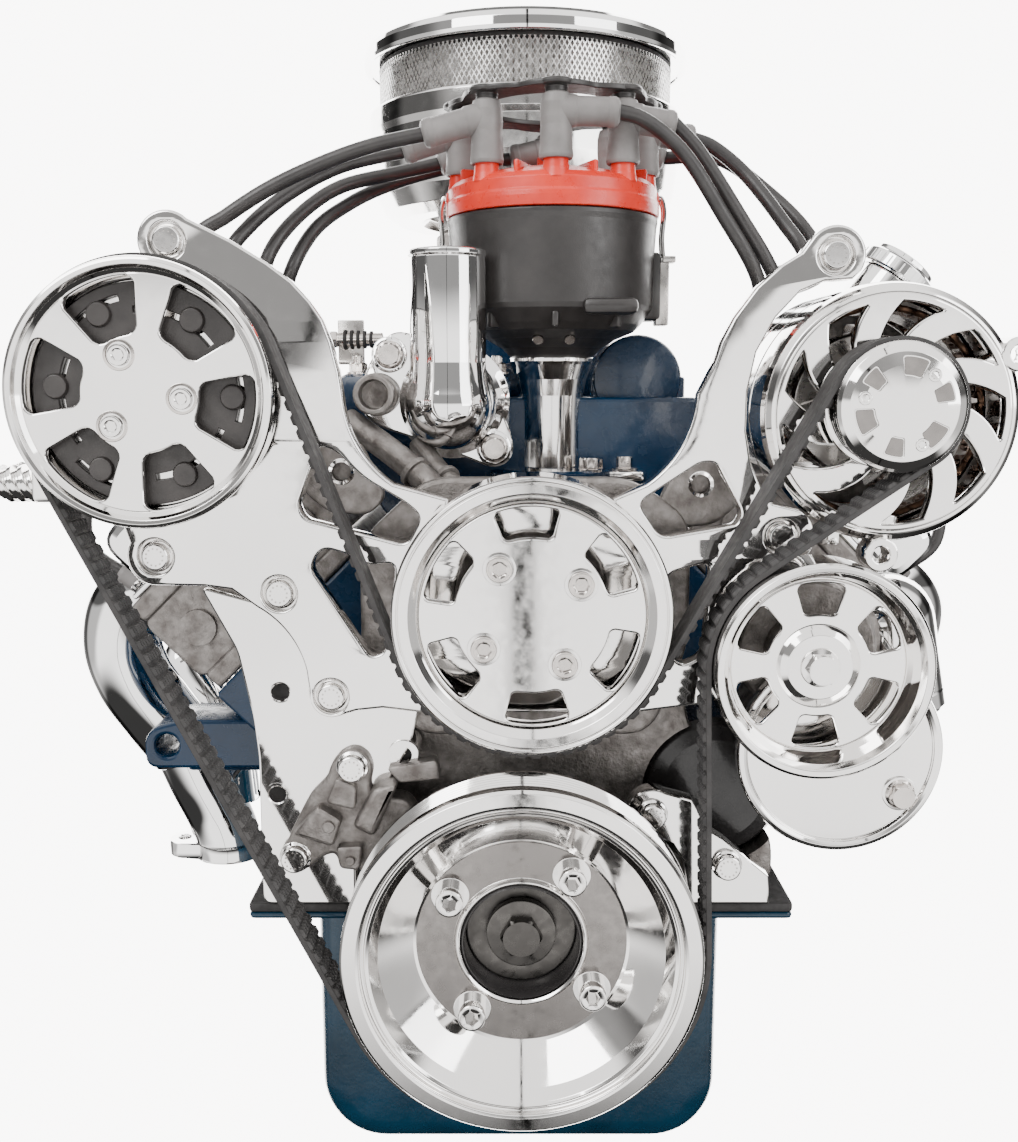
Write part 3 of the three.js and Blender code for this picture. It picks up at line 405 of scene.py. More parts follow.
def socket_screw(x, z, seat, radius, height, roll=0.0, washer=0.0):
    """A socket-head screw seen from the front, its head standing off the seat plane."""
    top = seat - height
    key, depth = radius * 0.55, height * 0.6
    shapes = [across(fillet([(radius, seat), (radius, top), (key * 1.12, top)], radius * 0.14, 3)
                     + [(key, top + 0.4, 6), (key, top + depth, 6), (0, top + depth)], x, z, 48, roll)]
    if washer:
        shapes.append(across(fillet([(washer, seat + 0.2), (washer, seat - 1.4), (radius * 0.9, seat - 1.4)],
                                    0.3, 2), x, z, 48))
    return shapes


def hex_bolt(x, z, seat, radius, height, roll=0.0, flange=1.2):
    """A flanged hexagon bolt head seen from the front."""
    top = seat - height
    rim = radius * flange
    return [across([(rim, seat), (rim, seat - height * 0.16), (radius * 1.02, seat - height * 0.3),
                    (radius, seat - height * 0.32, 6), (radius, top + height * 0.14, 6),
                    (radius * 0.86, top), (radius * 0.8, top), (0, top)], x, z, 48, roll)]


class Piece:
    """Gathers shapes into one named object that rides on a body."""

    def __init__(self, name):
        self.name, self.points, self.faces, self.finishes, self.materials = name, [], [], [], []

    def add(self, material, *shapes):
        if material not in self.materials:
            self.materials.append(material)
        for points, faces in shapes:
            base = len(self.points)
            self.points.extend(points)
            self.faces.extend([[base + v for v in face] for face in faces])
            self.finishes.extend([self.materials.index(material)] * len(faces))
        return self

    def make(self, body, slot, *nodes, crease=28):
        mesh = bpy.data.meshes.new(self.name)
        mesh.from_pydata([Vector(p) * MM for p in self.points], [], self.faces)
        for material in self.materials:
            mesh.materials.append(material)
        mesh.polygons.foreach_set("material_index", self.finishes)
        tidy = bmesh.new()
        tidy.from_mesh(mesh)
        bmesh.ops.recalc_face_normals(tidy, faces=tidy.faces[:])
        tidy.to_mesh(mesh)
        tidy.free()
        mesh.polygons.foreach_set("use_smooth", [True] * len(mesh.polygons))
        mesh.set_sharp_from_angle(angle=math.radians(crease))
        piece = bpy.data.objects.new(self.name, mesh)
        bpy.context.collection.objects.link(piece)
        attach(piece, body)
        if nodes:
            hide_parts(*nodes)
        return piece


def bored(piece, *cutters):
    """Cuts the shapes out of a finished piece."""
    for points, faces in cutters:
        mesh = bpy.data.meshes.new("cutter")
        mesh.from_pydata([Vector(p) * MM for p in points], [], faces)
        tidy = bmesh.new()
        tidy.from_mesh(mesh)
        bmesh.ops.recalc_face_normals(tidy, faces=tidy.faces[:])
        tidy.to_mesh(mesh)
        tidy.free()
        tool = bpy.data.objects.new("cutter", mesh)
        bpy.context.collection.objects.link(tool)
        step = piece.modifiers.new("cut", "BOOLEAN")
        step.operation, step.object, step.solver = "DIFFERENCE", tool, "EXACT"
        graph = bpy.context.evaluated_depsgraph_get()
        result = bpy.data.meshes.new_from_object(piece.evaluated_get(graph))
        piece.modifiers.clear()
        piece.data = result
        bpy.data.objects.remove(tool)
    piece.data.set_sharp_from_angle(angle=math.radians(28))
    return piece


def rounded_window(x, z, inner, outer, centre, half, corner):
    """A round-cornered window between two radii of a wheel, as a loop of (x, z)."""
    spread = math.degrees(corner / outer)
    tight = math.degrees(corner / inner)
    loop = arc(x, z, outer, centre - half + spread, centre + half - spread, 10)
    loop += round_corner(polar(x, z, outer, centre + half - spread), polar(x, z, outer, centre + half),
                         polar(x, z, outer - corner, centre + half))
    loop += round_corner(polar(x, z, inner + corner, centre + half), polar(x, z, inner, centre + half),
                         polar(x, z, inner, centre + half - tight))
    loop += arc(x, z, inner, centre + half - tight, centre - half + tight, 6)
    loop += round_corner(polar(x, z, inner, centre - half + tight), polar(x, z, inner, centre - half),
                         polar(x, z, inner + corner, centre - half))
    loop += round_corner(polar(x, z, outer - corner, centre - half), polar(x, z, outer, centre - half),
                         polar(x, z, outer, centre - half + spread))
    return loop


def round_corner(start, corner, end, steps=5):
    a, b, c = Vector(start), Vector(corner), Vector(end)
    return [tuple(a * (1 - t) ** 2 + b * 2 * t * (1 - t) + c * t * t)
            for t in [i / steps for i in range(1, steps)]]


def circle(x, z, radius, steps=40):
    return [polar(x, z, radius, 360 * i / steps) for i in range(steps)]


# ---- the accessory drive ----------------------------------------------------------------------
def centre(node, across="xz"):
    """The middle of a CAD node's box along two axes, in millimetres to the tenth."""
    low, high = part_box(node)
    return tuple(round((low["xyz".index(axis)] + high["xyz".index(axis)]) / 2 / MM, 1) for axis in across)


def rim(node):
    """The outer radius of a pulley that faces forward, from its CAD box."""
    low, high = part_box(node)
    return round((high[0] - low[0]) / 2 / MM, 1)


# Centres, as seen from the front, in X and Z.
CRANK = CRANK_X, CRANK_Z = centre("crank_pulley")
PUMP = centre("water_pump_pulley")
COMPRESSOR = centre("ac_pulley")
ALTERNATOR = ALT_X, ALT_Z = centre("alternator_pulley")
CASE = centre("alternator_stator")
STEERING = STEER_X, STEER_Z = centre("power_steering_pulley")
CAN = 170.0, 330.0
FILTER = centre("oil_filter")
CRANK_RIM = rim("crank_pulley")
STEER_RIM = rim("power_steering_pulley")
CASE_R = 67.0
COVER_BOLT = (203, 306.9)
BELT_FRONT, BELT_BACK, BELT_THICK = -416.7, -395.3, 4.5


def grooves(radius, depth=1.9):
    """The six belt grooves of a pulley rim, as profile points from front to back."""
    pitch = (BELT_BACK - BELT_FRONT) / 6
    points = [(radius, BELT_FRONT - 0.6)]
    for rib in range(6):
        y = BELT_FRONT + pitch * rib
        points += [(radius, y + 0.2), (radius - depth, y + pitch * 0.36), (radius - depth, y + pitch * 0.64),
                   (radius, y + pitch - 0.2)]
    return points + [(radius, BELT_BACK + 0.6)]


def window_loops(x, z, count, first, half, inner, outer, corner):
    return [rounded_window(x, z, inner, outer, first + 360 / count * i, half, corner) for i in range(count)]


def crank_pulley():
    wheel = fillet([(33, -373), (33, -397), (33, -399.5), (34.6, -401), (35.8, -399.2), (36.2, -398),
                    (56.6, -398), (58.2, -399), (66, -405.5), (75.5, -414.5), (79.8, -421), (81.8, -422.4),
                    (82.4, -420.6), (84.2, -420.8), (84.6, -424.4), (86.2, -425), (93, -425),
                    (CRANK_RIM, -423.2), (CRANK_RIM, -418)], 0.8, 3)
    wheel += grooves(94.3) + [(94.4, -393.4), (92.8, -392.2), (88.6, -392.2), (87.6, -408), (64, -388),
                              (56, -388), (56, -373), (33, -373)]
    piece = Piece("crank_pulley_visual").add(POLISHED, across(wheel, *CRANK, 192))
    piece.add(BLACK_ENAMEL, across([(32.8, -374), (32.6, -398.8), (31.4, -400), (30.6, -398), (30.4, -376),
                                    (32.8, -374)], *CRANK, 96))
    # A thin ring of darker metal over the flange: painted shade from the deep bowl around it.
    piece.add(PAINTED_SHADE, across([(36.4, -398), (36.6, -398.3), (56.4, -398.3), (56.8, -398), (36.4, -398)],
                             *CRANK, 128))
    for i in range(4):
        x, z = polar(*CRANK, 46.5, 55 + 90 * i)
        piece.add(TURNED, *socket_screw(x, z, -398, 7.4, 12, 20 * i, 10.2))
    piece.make("crank", "polished_aluminium", "crank_pulley")


def crank_bolt():
    bolt = Piece("crank_bolt_visual")
    bolt.add(DARK_STEEL, across(fillet([(6, -352), (19, -384.4), (19, -389), (12.5, -389.4)], 0.6, 2)
                                + [(11.5, -389.6, 6), (11.5, -394.6, 6), (10, -395.8), (0, -396)], *CRANK,
                                60))
    bolt.make("crank", "steel", "crank_bolt")


def harmonic_damper():
    damper = Piece("harmonic_damper_visual")
    damper.add(DARK_STEEL, across(fillet([(16.5, -383), (30, -383.6), (30, -372.5), (62, -372.5),
                                          (63, -370.5), (66, -370.5), (67, -372.5), (79, -372.5),
                                          (80, -371.4), (80, -352), (78, -351), (22, -351), (16.5, -352)],
                                         0.6, 2), *CRANK, 128))
    damper.add(GASKET_AND_HOLE_SHADE, across([(63, -371.6), (66, -371.6), (66, -352), (63, -352), (63, -371.6)], *CRANK))
    damper.make("crank", "cast_aluminium", "harmonic_damper")


def pump_pulley():
    piece = Piece("water_pump_pulley_visual")
    face = [circle(*PUMP, 56.4, 144)] + window_loops(*PUMP, 6, 93, 18, 39, 54.6, 4.2)
    piece.add(POLISHED, plate(face, -421, -412.5, 1.1, 4))
    rim = fillet([(56.0, -413), (57.4, -414), (57.4, -420.6), (58.6, -421.6), (61.5, -424.6), (66.2, -425),
                  (66.8, -424.2), (67.4, -425), (68.8, -425), (69.8, -423.6), (69.8, -392.6), (69, -392),
                  (64.4, -392), (64, -411.5), (56, -413)], 0.7, 3)
    piece.add(POLISHED, across(rim, *PUMP, 160))
    piece.add(CAST, across([(0, -412.4), (36, -412.4), (37.5, -411), (37.5, -408), (0, -408)], *PUMP))
    for i in range(4):
        x, z = polar(*PUMP, 29, 34 + 90 * i)
        piece.add(TURNED, across(fillet([(8.4, -420.9), (8.4, -421.3), (7.2, -421.5)], 0.2, 1), x, z, 40))
        piece.add(PLATED, *socket_screw(x, z, -420.5, 6.6, 3.4, 25 * i))
    piece.make("water_pump_wheel", "polished_aluminium", "water_pump_pulley")


def clutch_cover():
    face = [circle(*COMPRESSOR, 57.2, 144)] + window_loops(*COMPRESSOR, 6, 110, 20.5, 28.5, 56.2, 6.5)
    piece = Piece("ac_clutch_cover_visual").add(POLISHED, plate(face, -421, -416.6, 0.9, 3))
    rim = fillet([(56.6, -417), (56.9, -420.8), (59, -422.4), (60.4, -424.6), (62.4, -425), (64, -424.4),
                  (64.6, -422.6), (64.6, -418.6), (63.6, -417.8), (60, -416.4), (56.6, -417)], 0.6, 3)
    piece.add(POLISHED, across(rim, *COMPRESSOR, 160))
    for angle in (115, -6, 228):
        x, z = polar(*COMPRESSOR, 20.5, angle)
        piece.add(PLATED, across(fillet([(7.6, -420.9), (7.6, -421.6), (6.2, -421.8)], 0.3, 2), x, z, 40))
        piece.add(TURNED, *socket_screw(x, z, -421.4, 5.2, 1.8, angle))
    piece.make("compressor_wheel", "polished_aluminium", "ac_clutch_cover")


def compressor_pulley():
    hub = Piece("ac_pulley_visual")
    seat = [(61.4, -413)] + grooves(61.4)[1:] + [(61.5, -392.5), (58, -388.2), (24, -388.2), (24, -396),
                                                 (24, -408), (54.6, -408), (55.4, -413), (61.4, -413)]
    hub.add(TURNED, across(seat, *COMPRESSOR, 144))
    plate_face = [circle(*COMPRESSOR, 54, 96)]
    for i in range(3):
        plate_face.append(slot_loop(*COMPRESSOR, 40.5, 65 + 120 * i, 30, 1.5))
        plate_face.append(slot_loop(*COMPRESSOR, 47, 5 + 120 * i, 22, 1.5))
    hub.add(CLUTCH_BLACK, plate(plate_face, -412.2, -408.2, 0.5, 2))
    hub.add(CLUTCH_BLACK,
            across(fillet([(0, -414.2), (21, -414.2), (21, -412), (26, -412)], 0.6, 2), *COMPRESSOR, 60))
    for i in range(3):
        for further in (0, 57):
            x, z = polar(*COMPRESSOR, 43, 118 + 120 * i + further)
            hub.add(CLUTCH_BLACK, across(fillet([(0, -414.6), (5.6, -414.6), (6.4, -412)], 0.8, 3), x, z, 32))
    hub.make("compressor_wheel", "black_enamel", "ac_pulley")


def slot_loop(x, z, radius, centre, half, width):
    return arc(x, z, radius + width, centre - half, centre + half, 16) \
        + arc(x, z, radius - width, centre + half, centre - half, 16)


def alternator_pulley():
    piece = Piece("alternator_pulley_visual")
    dome = [(0, -424), (9, -423.9), (20, -423.3), (26.4, -422), (30, -420.2), (31.6, -418.6), (32, -417.6),
            (31.2, -416.9), (29, -416.9)]
    piece.add(POLISHED, across(fillet(dome, 1.0, 2) + grooves(29, 1.2)
                               + fillet([(29, -395), (31.2, -394.6), (31.2, -391.2), (8, -391)], 0.5, 2),
                               *ALTERNATOR, 128))
    made = piece.make("alternator_wheel", "polished_aluminium", "alternator_pulley")
    pockets = []
    for i in range(6):
        loop = rounded_window(*ALTERNATOR, 14.5, 24.6, 19 + 60 * i, 17 if i % 2 else 13, 1.8)
        pockets.append(plate([loop], -426, -422.3, 0.2, 1))
    bored(made, *pockets)
    screws = Piece("alternator_pulley_screws")
    # Darker floors in the six pockets: painted shade in the recesses.
    for i in range(6):
        floor = rounded_window(*ALTERNATOR, 15.2, 23.9, 19 + 60 * i, 15.4 if i % 2 else 11.4, 1.4)
        screws.add(PAINTED_SHADE, plate([floor], -422.6, -421.9, 0.15, 1))
    for angle in (49, 168, -64):
        x, z = polar(*ALTERNATOR, 20, angle)
        screws.add(TURNED, *socket_screw(x, z, -422.4, 3.3, 1.3, angle))
    screws.make("alternator_wheel", "steel")


def steering_pulley():
    piece = Piece("power_steering_pulley_visual")
    face = [circle(*STEERING, 44.6, 120), circle(*STEERING, 21, 60)[::-1]]
    face += window_loops(*STEERING, 6, 90, 17.5, 26.5, 43, 4)
    piece.add(POLISHED, plate(face, -409.4, -405.4, 0.9, 3))
    hub = fillet([(8.3, -405), (8.3, -411.6), (10, -413), (16.5, -412.4), (19.6, -410.6), (21.6, -409),
                  (21.6, -405.6), (8.3, -405)], 0.8, 3)
    piece.add(POLISHED, across(hub, *STEERING, 96))
    rim = fillet([(44.2, -405.2), (44.6, -409.2), (46.4, -414), (48.2, -420.6), (50.4, -424.4), (53.4, -425),
                  (STEER_RIM, -423), (STEER_RIM, -393.6), (54, -393), (50.6, -393), (50.4, -404),
                  (44.2, -405.2)], 0.9, 4)
    piece.add(POLISHED, across(rim, *STEERING, 144))
    piece.make("steering_wheel", "polished_aluminium", "power_steering_pulley")


def steering_shaft():
    shaft = Piece("power_steering_shaft_visual")
    shaft.add(TURNED, across([(8.1, -340), (8.1, -411.8), (9.6, -412.2), (9.6, -413.6), (8.2, -414, 6),
                              (8.2, -419.4, 6), (7.4, -420.7), (5, -421), (0, -420.7)], *STEERING, 60))
    shaft.make("steering_wheel", "steel", "power_steering_shaft")


# ---- the belt: ribbed and cogged on one side ------------------------------------------------------
def belt_line(step):
    """Points and outward normals along the middle of the belt."""
    half = BELT_THICK / 2 + 0.35
    wheels = [(*CRANK, CRANK_RIM, 1), (*STEERING, STEER_RIM, -1), (*ALTERNATOR, 29.0, 1), (*PUMP, 69.8, -1),
              (*COMPRESSOR, 61.6, 1)]
    angles = []
    for here, ahead in zip(wheels, wheels[1:] + wheels[:1]):
        run_x, run_z = ahead[0] - here[0], ahead[1] - here[1]
        reach = ahead[3] * (ahead[2] + half) - here[3] * (here[2] + half)
        angles.append(math.atan2(run_z, run_x) + math.acos(reach / math.hypot(run_x, run_z)))
    corners = []
    for i, (x, z, radius, way) in enumerate(wheels):
        flip = 0 if way > 0 else math.pi
        start, stop = angles[i - 1] + math.pi - flip, angles[i] + math.pi - flip
        sweep_angle = (stop - start) % (2 * math.pi) if way > 0 else -((start - stop) % (2 * math.pi))
        count = max(8, int(abs(sweep_angle) * radius / step))
        for k in range(count + 1):
            angle = start + sweep_angle * k / count
            ray = Vector((math.cos(angle), math.sin(angle)))
            corners.append((Vector((x, z)) + ray * (radius + half), ray * way))
    line = []
    for (point, normal), (after, normal_after) in zip(corners, corners[1:] + corners[:1]):
        gap = (after - point).length
        pieces = max(1, round(gap / step))
        line += [(point.lerp(after, k / pieces), normal.lerp(normal_after, k / pieces).normalized())
                 for k in range(pieces)]
    return line


def serpentine_belt():
    line = belt_line(1.25)
    pitch = (BELT_BACK - BELT_FRONT) / 6
    section = [(BELT_FRONT + 0.3, 2.25, 0), (BELT_BACK - 0.3, 2.25, 0), (BELT_BACK, 1.9, 0),
               (BELT_BACK, -0.4, 0)]
    for rib in range(6):
        y = BELT_BACK - pitch * rib
        section += [(y - pitch * 0.12, -0.6, 0), (y - pitch * 0.36, -2.2, 1), (y - pitch * 0.64, -2.2, 1),
                    (y - pitch * 0.88, -0.6, 0)]
    section += [(BELT_FRONT, -0.4, 0), (BELT_FRONT, 1.9, 0)]
    points, faces = [], []
    size = len(section)
    for i, (point, normal) in enumerate(line):
        valley = 1.5 if i % 6 in (0, 1) else 0.0
        for y, out, ribbed in section:
            reach = out + valley * ribbed
            points.append((point.x + normal.x * reach, y, point.y + normal.y * reach))
        ahead = (i + 1) % len(line)
        for k in range(size):
            n = (k + 1) % size
            faces.append([i * size + k, i * size + n, ahead * size + n, ahead * size + k])
    Piece("serpentine_belt_visual").add(RUBBER, (points, faces)).make("engine", "belt_rubber",
                                                                      "serpentine_belt")


# ---- brackets ---------------------------------------------------------------------------------
BRACKET_BOLTS = [(-177.9, 594.9), (-191.2, 434.9), (-127.2, 415.3), (-101.3, 359.7), (157.4, 587.6),
                 (135.2, 445.4)]


def rounded_loop(corners, radius):
    """A closed loop with each corner rounded."""
    loop = []
    count = len(corners)
    for i in range(count):
        before, here, after = Vector(corners[i - 1]), Vector(corners[i]), Vector(corners[(i + 1) % count])
        back, ahead = before - here, after - here
        cut = min(radius, back.length * 0.45, ahead.length * 0.45)
        first, last = here + back.normalized() * cut, here + ahead.normalized() * cut
        loop += [tuple(first * (1 - t) ** 2 + here * 2 * t * (1 - t) + last * t * t)
                 for t in (0, 0.2, 0.4, 0.6, 0.8, 1)]
    return loop


def bracket_edge():
    edge = arc(-177.9, 594.9, 15, 45, 225, 18)
    edge += [(-196, 560), (-208, 540), (-213, 520), (-215, 494), (-213, 470)]
    edge += arc(-191.2, 434.9, 15, 150, 270, 14) + [(-166, 419.4), (-152, 417.6)]
    edge += arc(-165, 363, 52, 60, 12, 14) + arc(-101.3, 359.7, 11.4, 200, 285, 10)
    edge += [(-88, 352), (-74, 353.5), (-54, 351), (60, 351), (98, 356), (98, 378), (101, 384), (118, 398),
             (142, 428)]
    edge += arc(135.2, 445.4, 17, -56, 56, 12)
    edge += [(130, 463), (124, 470), (118, 484), (115, 500), (115, 520), (119, 540), (128, 557), (140, 570),
             (152, 575), (166, 576)]
    edge += arc(157.4, 587.6, 15, -30, 150, 18)
    edge += [(140, 589), (130, 583), (118, 572), (107, 557), (101, 545), (98, 535)]
    edge += arc(30, 522, 60, -3, -55, 14) + arc(*PUMP, 68, 53, 127, 18)
    edge += arc(-32, 522, 60, -125, -176, 14)
    return edge + [(-93.5, 530), (-97, 545), (-101, 556), (-107, 565), (-116, 575), (-128, 584), (-146, 595)]


def front_bracket():
    left = [(-104, 493), (-116, 462), (-113, 455), (-60, 441), (-52, 456), (-60, 463), (-82, 476), (-96, 490)]
    right = [(92, 484), (60, 463), (72, 445), (112, 452), (114, 458), (100, 484)]
    slot = [(-104, 440), (-111, 430), (-80, 381), (-72, 384), (-66, 432), (-80, 430), (-90, 436)]
    notch = [(76, 426), (98, 432), (96, 382), (84, 376), (74, 390)]
    loops = [bracket_edge(), circle(*PUMP, 33, 72), circle(*COMPRESSOR, 32, 60),
             *[rounded_loop(points, 5.5) for points in (left, right, slot, notch)]]
    loops += [circle(x, z, 9.3, 40) for x, z in BRACKET_BOLTS]
    piece = Piece("front_bracket_plate_visual").add(POLISHED, plate(loops, -385, -373, 1.5, 4))
    for x, z in BRACKET_BOLTS:
        piece.add(TURNED, across([(9.7, -375), (9.7, -379.6), (4, -379.6), (4, -375), (9.7, -375)], x, z, 40))
    piece.add(POLISHED, across(fillet([(0, -373.4), (12, -373.4), (12, -346), (0, -345.4)], 0.6, 2), -101.3,
                               359.7, 48))
    made = piece.make("engine", "polished_aluminium", "front_bracket_plate")
    return bored(made,
                 across([(0, -395), (CASE_R + 0.9, -395), (CASE_R + 0.9, -360), (0, -360)], *CASE, 144))


def twelve_point_bolt(x, z, seat, radius=7.4, height=6.5, face=TURNED):
    """A polished flange bolt whose round top carries a ring of shallow dots."""
    top = seat - height
    shape = across(fillet([(radius * 1.18, seat), (radius * 1.18, seat - 1.6), (radius * 0.98, seat - 2.4),
                           (radius * 0.96, top + 0.5), (radius * 0.86, top), (0, top)], 0.5, 2), x, z, 48)
    dots = [across([(0.55, top + 0.1), (0.55, top - 0.12), (0, top - 0.16)],
                   *polar(x, z, radius * 0.62, 30 * i + 8), 8) for i in range(12)]
    return face, shape, dots


def bolts(name, places, seat, radius=7.4, height=6.5):
    piece = Piece(name)
    for x, z in places:
        face, shape, dots = twelve_point_bolt(x, z, seat, radius, height)
        piece.add(face, shape)
        piece.add(STEEL, *dots)
    piece.make("engine", "steel")


def lower_brackets():
    edge = [(-172, 417), (-153.5, 382), (-146, 345), (-143.7, 322), (-144, 254), (-143.8, 237.2),
            (-92, 237.2), (-92, 262), (-78, 300), (-60, 330), (-54, 360), (-110, 400)]
    loops = [rounded_loop(edge, 5), circle(-130.7, 358.9, 4.7, 28), circle(-134.1, 300.9, 4.7, 28),
             circle(-101.3, 359.7, 13, 40)]
    piece = Piece("lower_left_bracket_visual").add(POLISHED, plate(loops, -372.7, -361, 1.2, 3))
    # Black disks inside the two open holes: painted shade of the holes.
    for x, z in ((-130.7, 358.9), (-134.1, 300.9)):
        piece.add(GASKET_AND_HOLE_SHADE, across([(4.9, -366), (4.9, -365), (0, -365), (0, -366)], x, z, 28))
    piece.add(POLISHED, across([(4.8, -372.3), (5.4, -372.8), (6.8, -372.8), (7.2, -372.4), (4.8, -372.3)],
                               -134.1, 300.9, 32))
    piece.make("engine", "polished_aluminium", "lower_left_bracket")
    edge = arc(72.3, 290, 14, 60, 205, 18) + [(84, 272), (90, 262), (92, 250), (92, 237.2), (138.5, 237.2),
                                              (138.3, 246), (137.6, 253.5), (112, 275), (104, 280),
                                              (94, 298)]
    piece = Piece("lower_right_bracket_visual").add(POLISHED, plate([edge], -372.7, -361, 1.2, 3))
    piece.make("engine", "polished_aluminium", "lower_right_bracket")


for build in (crank_pulley, crank_bolt, harmonic_damper, pump_pulley, clutch_cover, compressor_pulley,
              alternator_pulley, steering_pulley, steering_shaft, serpentine_belt):
    build()
front_bracket()
bolts("bracket_bolts", BRACKET_BOLTS, -380, 7.2, 6.4)
lower_brackets()
bolts("lower_bracket_bolts", [(72.3, 290), (114.1, 260.6)], -372.6, 7.2, 7)
bolts("casting_bolts", [(-91.7, 319), (-124, 267.4)], -377.6, 7.4, 7)


# ---- alternator ---------------------------------------------------------------------------------
def pinwheel_window(inner, outer, start, width_in, width_out, lean):
    """One opening between two curved spokes of the alternator's front."""
    loop = []
    steps = 12
    for i in range(steps + 1):
        t = i / steps
        loop.append(polar(*CASE, inner + (outer - inner) * t, start + lean * t ** 1.4))
    loop += arc(*CASE, outer, start + lean, start + lean + width_out, 10)[1:]
    for i in range(steps + 1):
        t = 1 - i / steps
        loop.append(polar(*CASE, inner + (outer - inner) * t,
                          start + width_in + (lean + width_out - width_in) * t ** 1.15))
    loop += arc(*CASE, inner, start + width_in, start, 4)[1:-1]
    return soften_loop(loop, 2)


def soften_loop(loop, rounds):
    """Rounds every corner of a closed loop by cutting it, Chaikin's way."""
    for _ in range(rounds):
        fresh = []
        for here, after in zip(loop, loop[1:] + loop[:1]):
            a, b = Vector(here), Vector(after)
            fresh += [tuple(a * 0.75 + b * 0.25), tuple(a * 0.25 + b * 0.75)]
        loop = fresh
    return loop


def alternator_housing():
    piece = Piece("alternator_housing_visual")
    windows = [pinwheel_window(27, 56.5, 12 + 40 * i, 19, 22, -26) for i in range(9)]
    piece.add(POLISHED,
              plate([circle(*CASE, 60.4, 160), circle(*ALTERNATOR, 20, 48), *windows], -386, -377.5, 1.2, 3))
    shell = fillet([(60, -378), (60.2, -385.6), (62.4, -385), (65.4, -382), (66.6, -377), (67, -371),
                    (67, -352), (66, -350.6), (67, -349), (67, -322), (66, -320.6), (67, -319), (67, -290),
                    (65, -284), (59, -280.6), (30, -280), (30, -284), (57, -285), (62, -292), (62, -374),
                    (60, -378)], 1.2, 3)
    piece.add(POLISHED, across(shell, *CASE, 160))
    piece.add(CAST, plate([circle(*CASE, 60, 96), circle(*ALTERNATOR, 9, 24)]
                          + window_loops(*CASE, 6, 10, 19, 24, 50, 4), -285, -280.2, 0.8, 2))
    for (x, z), (nx, nz) in (((187, 436), (189, 449)), ((252, 539), (242, 533))):
        ear = [polar(x, z, 9, a) for a in range(0, 360, 12)]
        piece.add(POLISHED, plate([ear, circle(x, z, 4.3, 24)], -386, -370, 0.9, 2))
        piece.add(POLISHED,
                  rod(7.5, (nx, -378, nz), (nx + (nx - x) * 0.6, -378, nz + (nz - z) * 0.6), 0.5, 24))
    piece.add(POLISHED, box(178.5, 189.5, -300, -284.5, 429.5, 449, 1.5))
    for angle in (62, 152, 242, 332):
        x, z = polar(*CASE, 60.5, angle)
        piece.add(STEEL, rod(2.8, (x, -300, z), (x, -279.9, z), 0.5, 20))
    piece.make("engine", "polished_aluminium", "alternator_housing")


def alternator_stator():
    coil = Piece("alternator_stator_visual")
    coil.add(STEEL, across([(53, -345), (61, -345), (61, -318), (53, -318), (53, -345)], *CASE, 96))
    for k in range(36):
        x, z = polar(*CASE, 55.4, 10 * k)
        u, w = polar(*CASE, 55.4, 10 * k + 13)
        for y, way in ((-345, -1), (-318, 1)):
            coil.add(COPPER, sweep([(x, y, z), (x, y + way * 9, z),
                                    ((x + u) / 2, y + way * 13.5, (z + w) / 2), (u, y + way * 9, w),
                                    (u, y, w)], 1.9, 5, 8))
    coil.make("engine", "copper_winding", "alternator_stator")


def alternator_rotor():
    rotor = Piece("alternator_rotor_visual")
    rotor.add(STEEL, rod(8, (ALT_X, -412, ALT_Z), (ALT_X, -285, ALT_Z), 0.6, 32))
    for k in range(6):
        for y0, y1, offset in ((-355, -322, 0), (-310, -343, 30)):
            claw = []
            for t, spread in ((0, 22), (1, 9)):
                for s in (-1, 1):
                    for radius in (38, 31):
                        x, z = polar(*ALTERNATOR, radius, 60 * k + offset + s * spread)
                        claw.append((x, y0 + (y1 - y0) * t, z))
            faces = [[0, 1, 3, 2], [4, 5, 7, 6], [0, 1, 5, 4], [2, 3, 7, 6], [0, 2, 6, 4], [1, 3, 7, 5]]
            rotor.add(STEEL, ([Vector(p) for p in claw], faces))
    rotor.add(STEEL, across(fillet([(8, -356), (37, -356), (38.5, -353), (38.5, -350.4), (8, -350)], 0.6, 2),
                            *ALTERNATOR, 64))
    rotor.add(COPPER, across(fillet([(8, -344), (30, -344), (30, -316), (8, -316)], 1.5, 2), *ALTERNATOR, 64))
    for k in range(11):
        angle = 360 * k / 11
        near, far = polar(*ALTERNATOR, 20, angle), polar(*ALTERNATOR, 36, angle + 16)
        blade = [Vector((near[0], -362, near[1])), Vector((far[0], -365, far[1])),
                 Vector((far[0], -356, far[1])), Vector((near[0], -356, near[1]))]
        thick = Vector((0.7, 0, 0.7))
        rotor.add(STEEL, ([p - thick for p in blade] + [p + thick for p in blade],
                          [[0, 1, 2, 3], [4, 5, 6, 7], [0, 1, 5, 4], [1, 2, 6, 5], [2, 3, 7, 6],
                           [3, 0, 4, 7]]))
    rotor.make("alternator_wheel", "steel", "alternator_rotor")


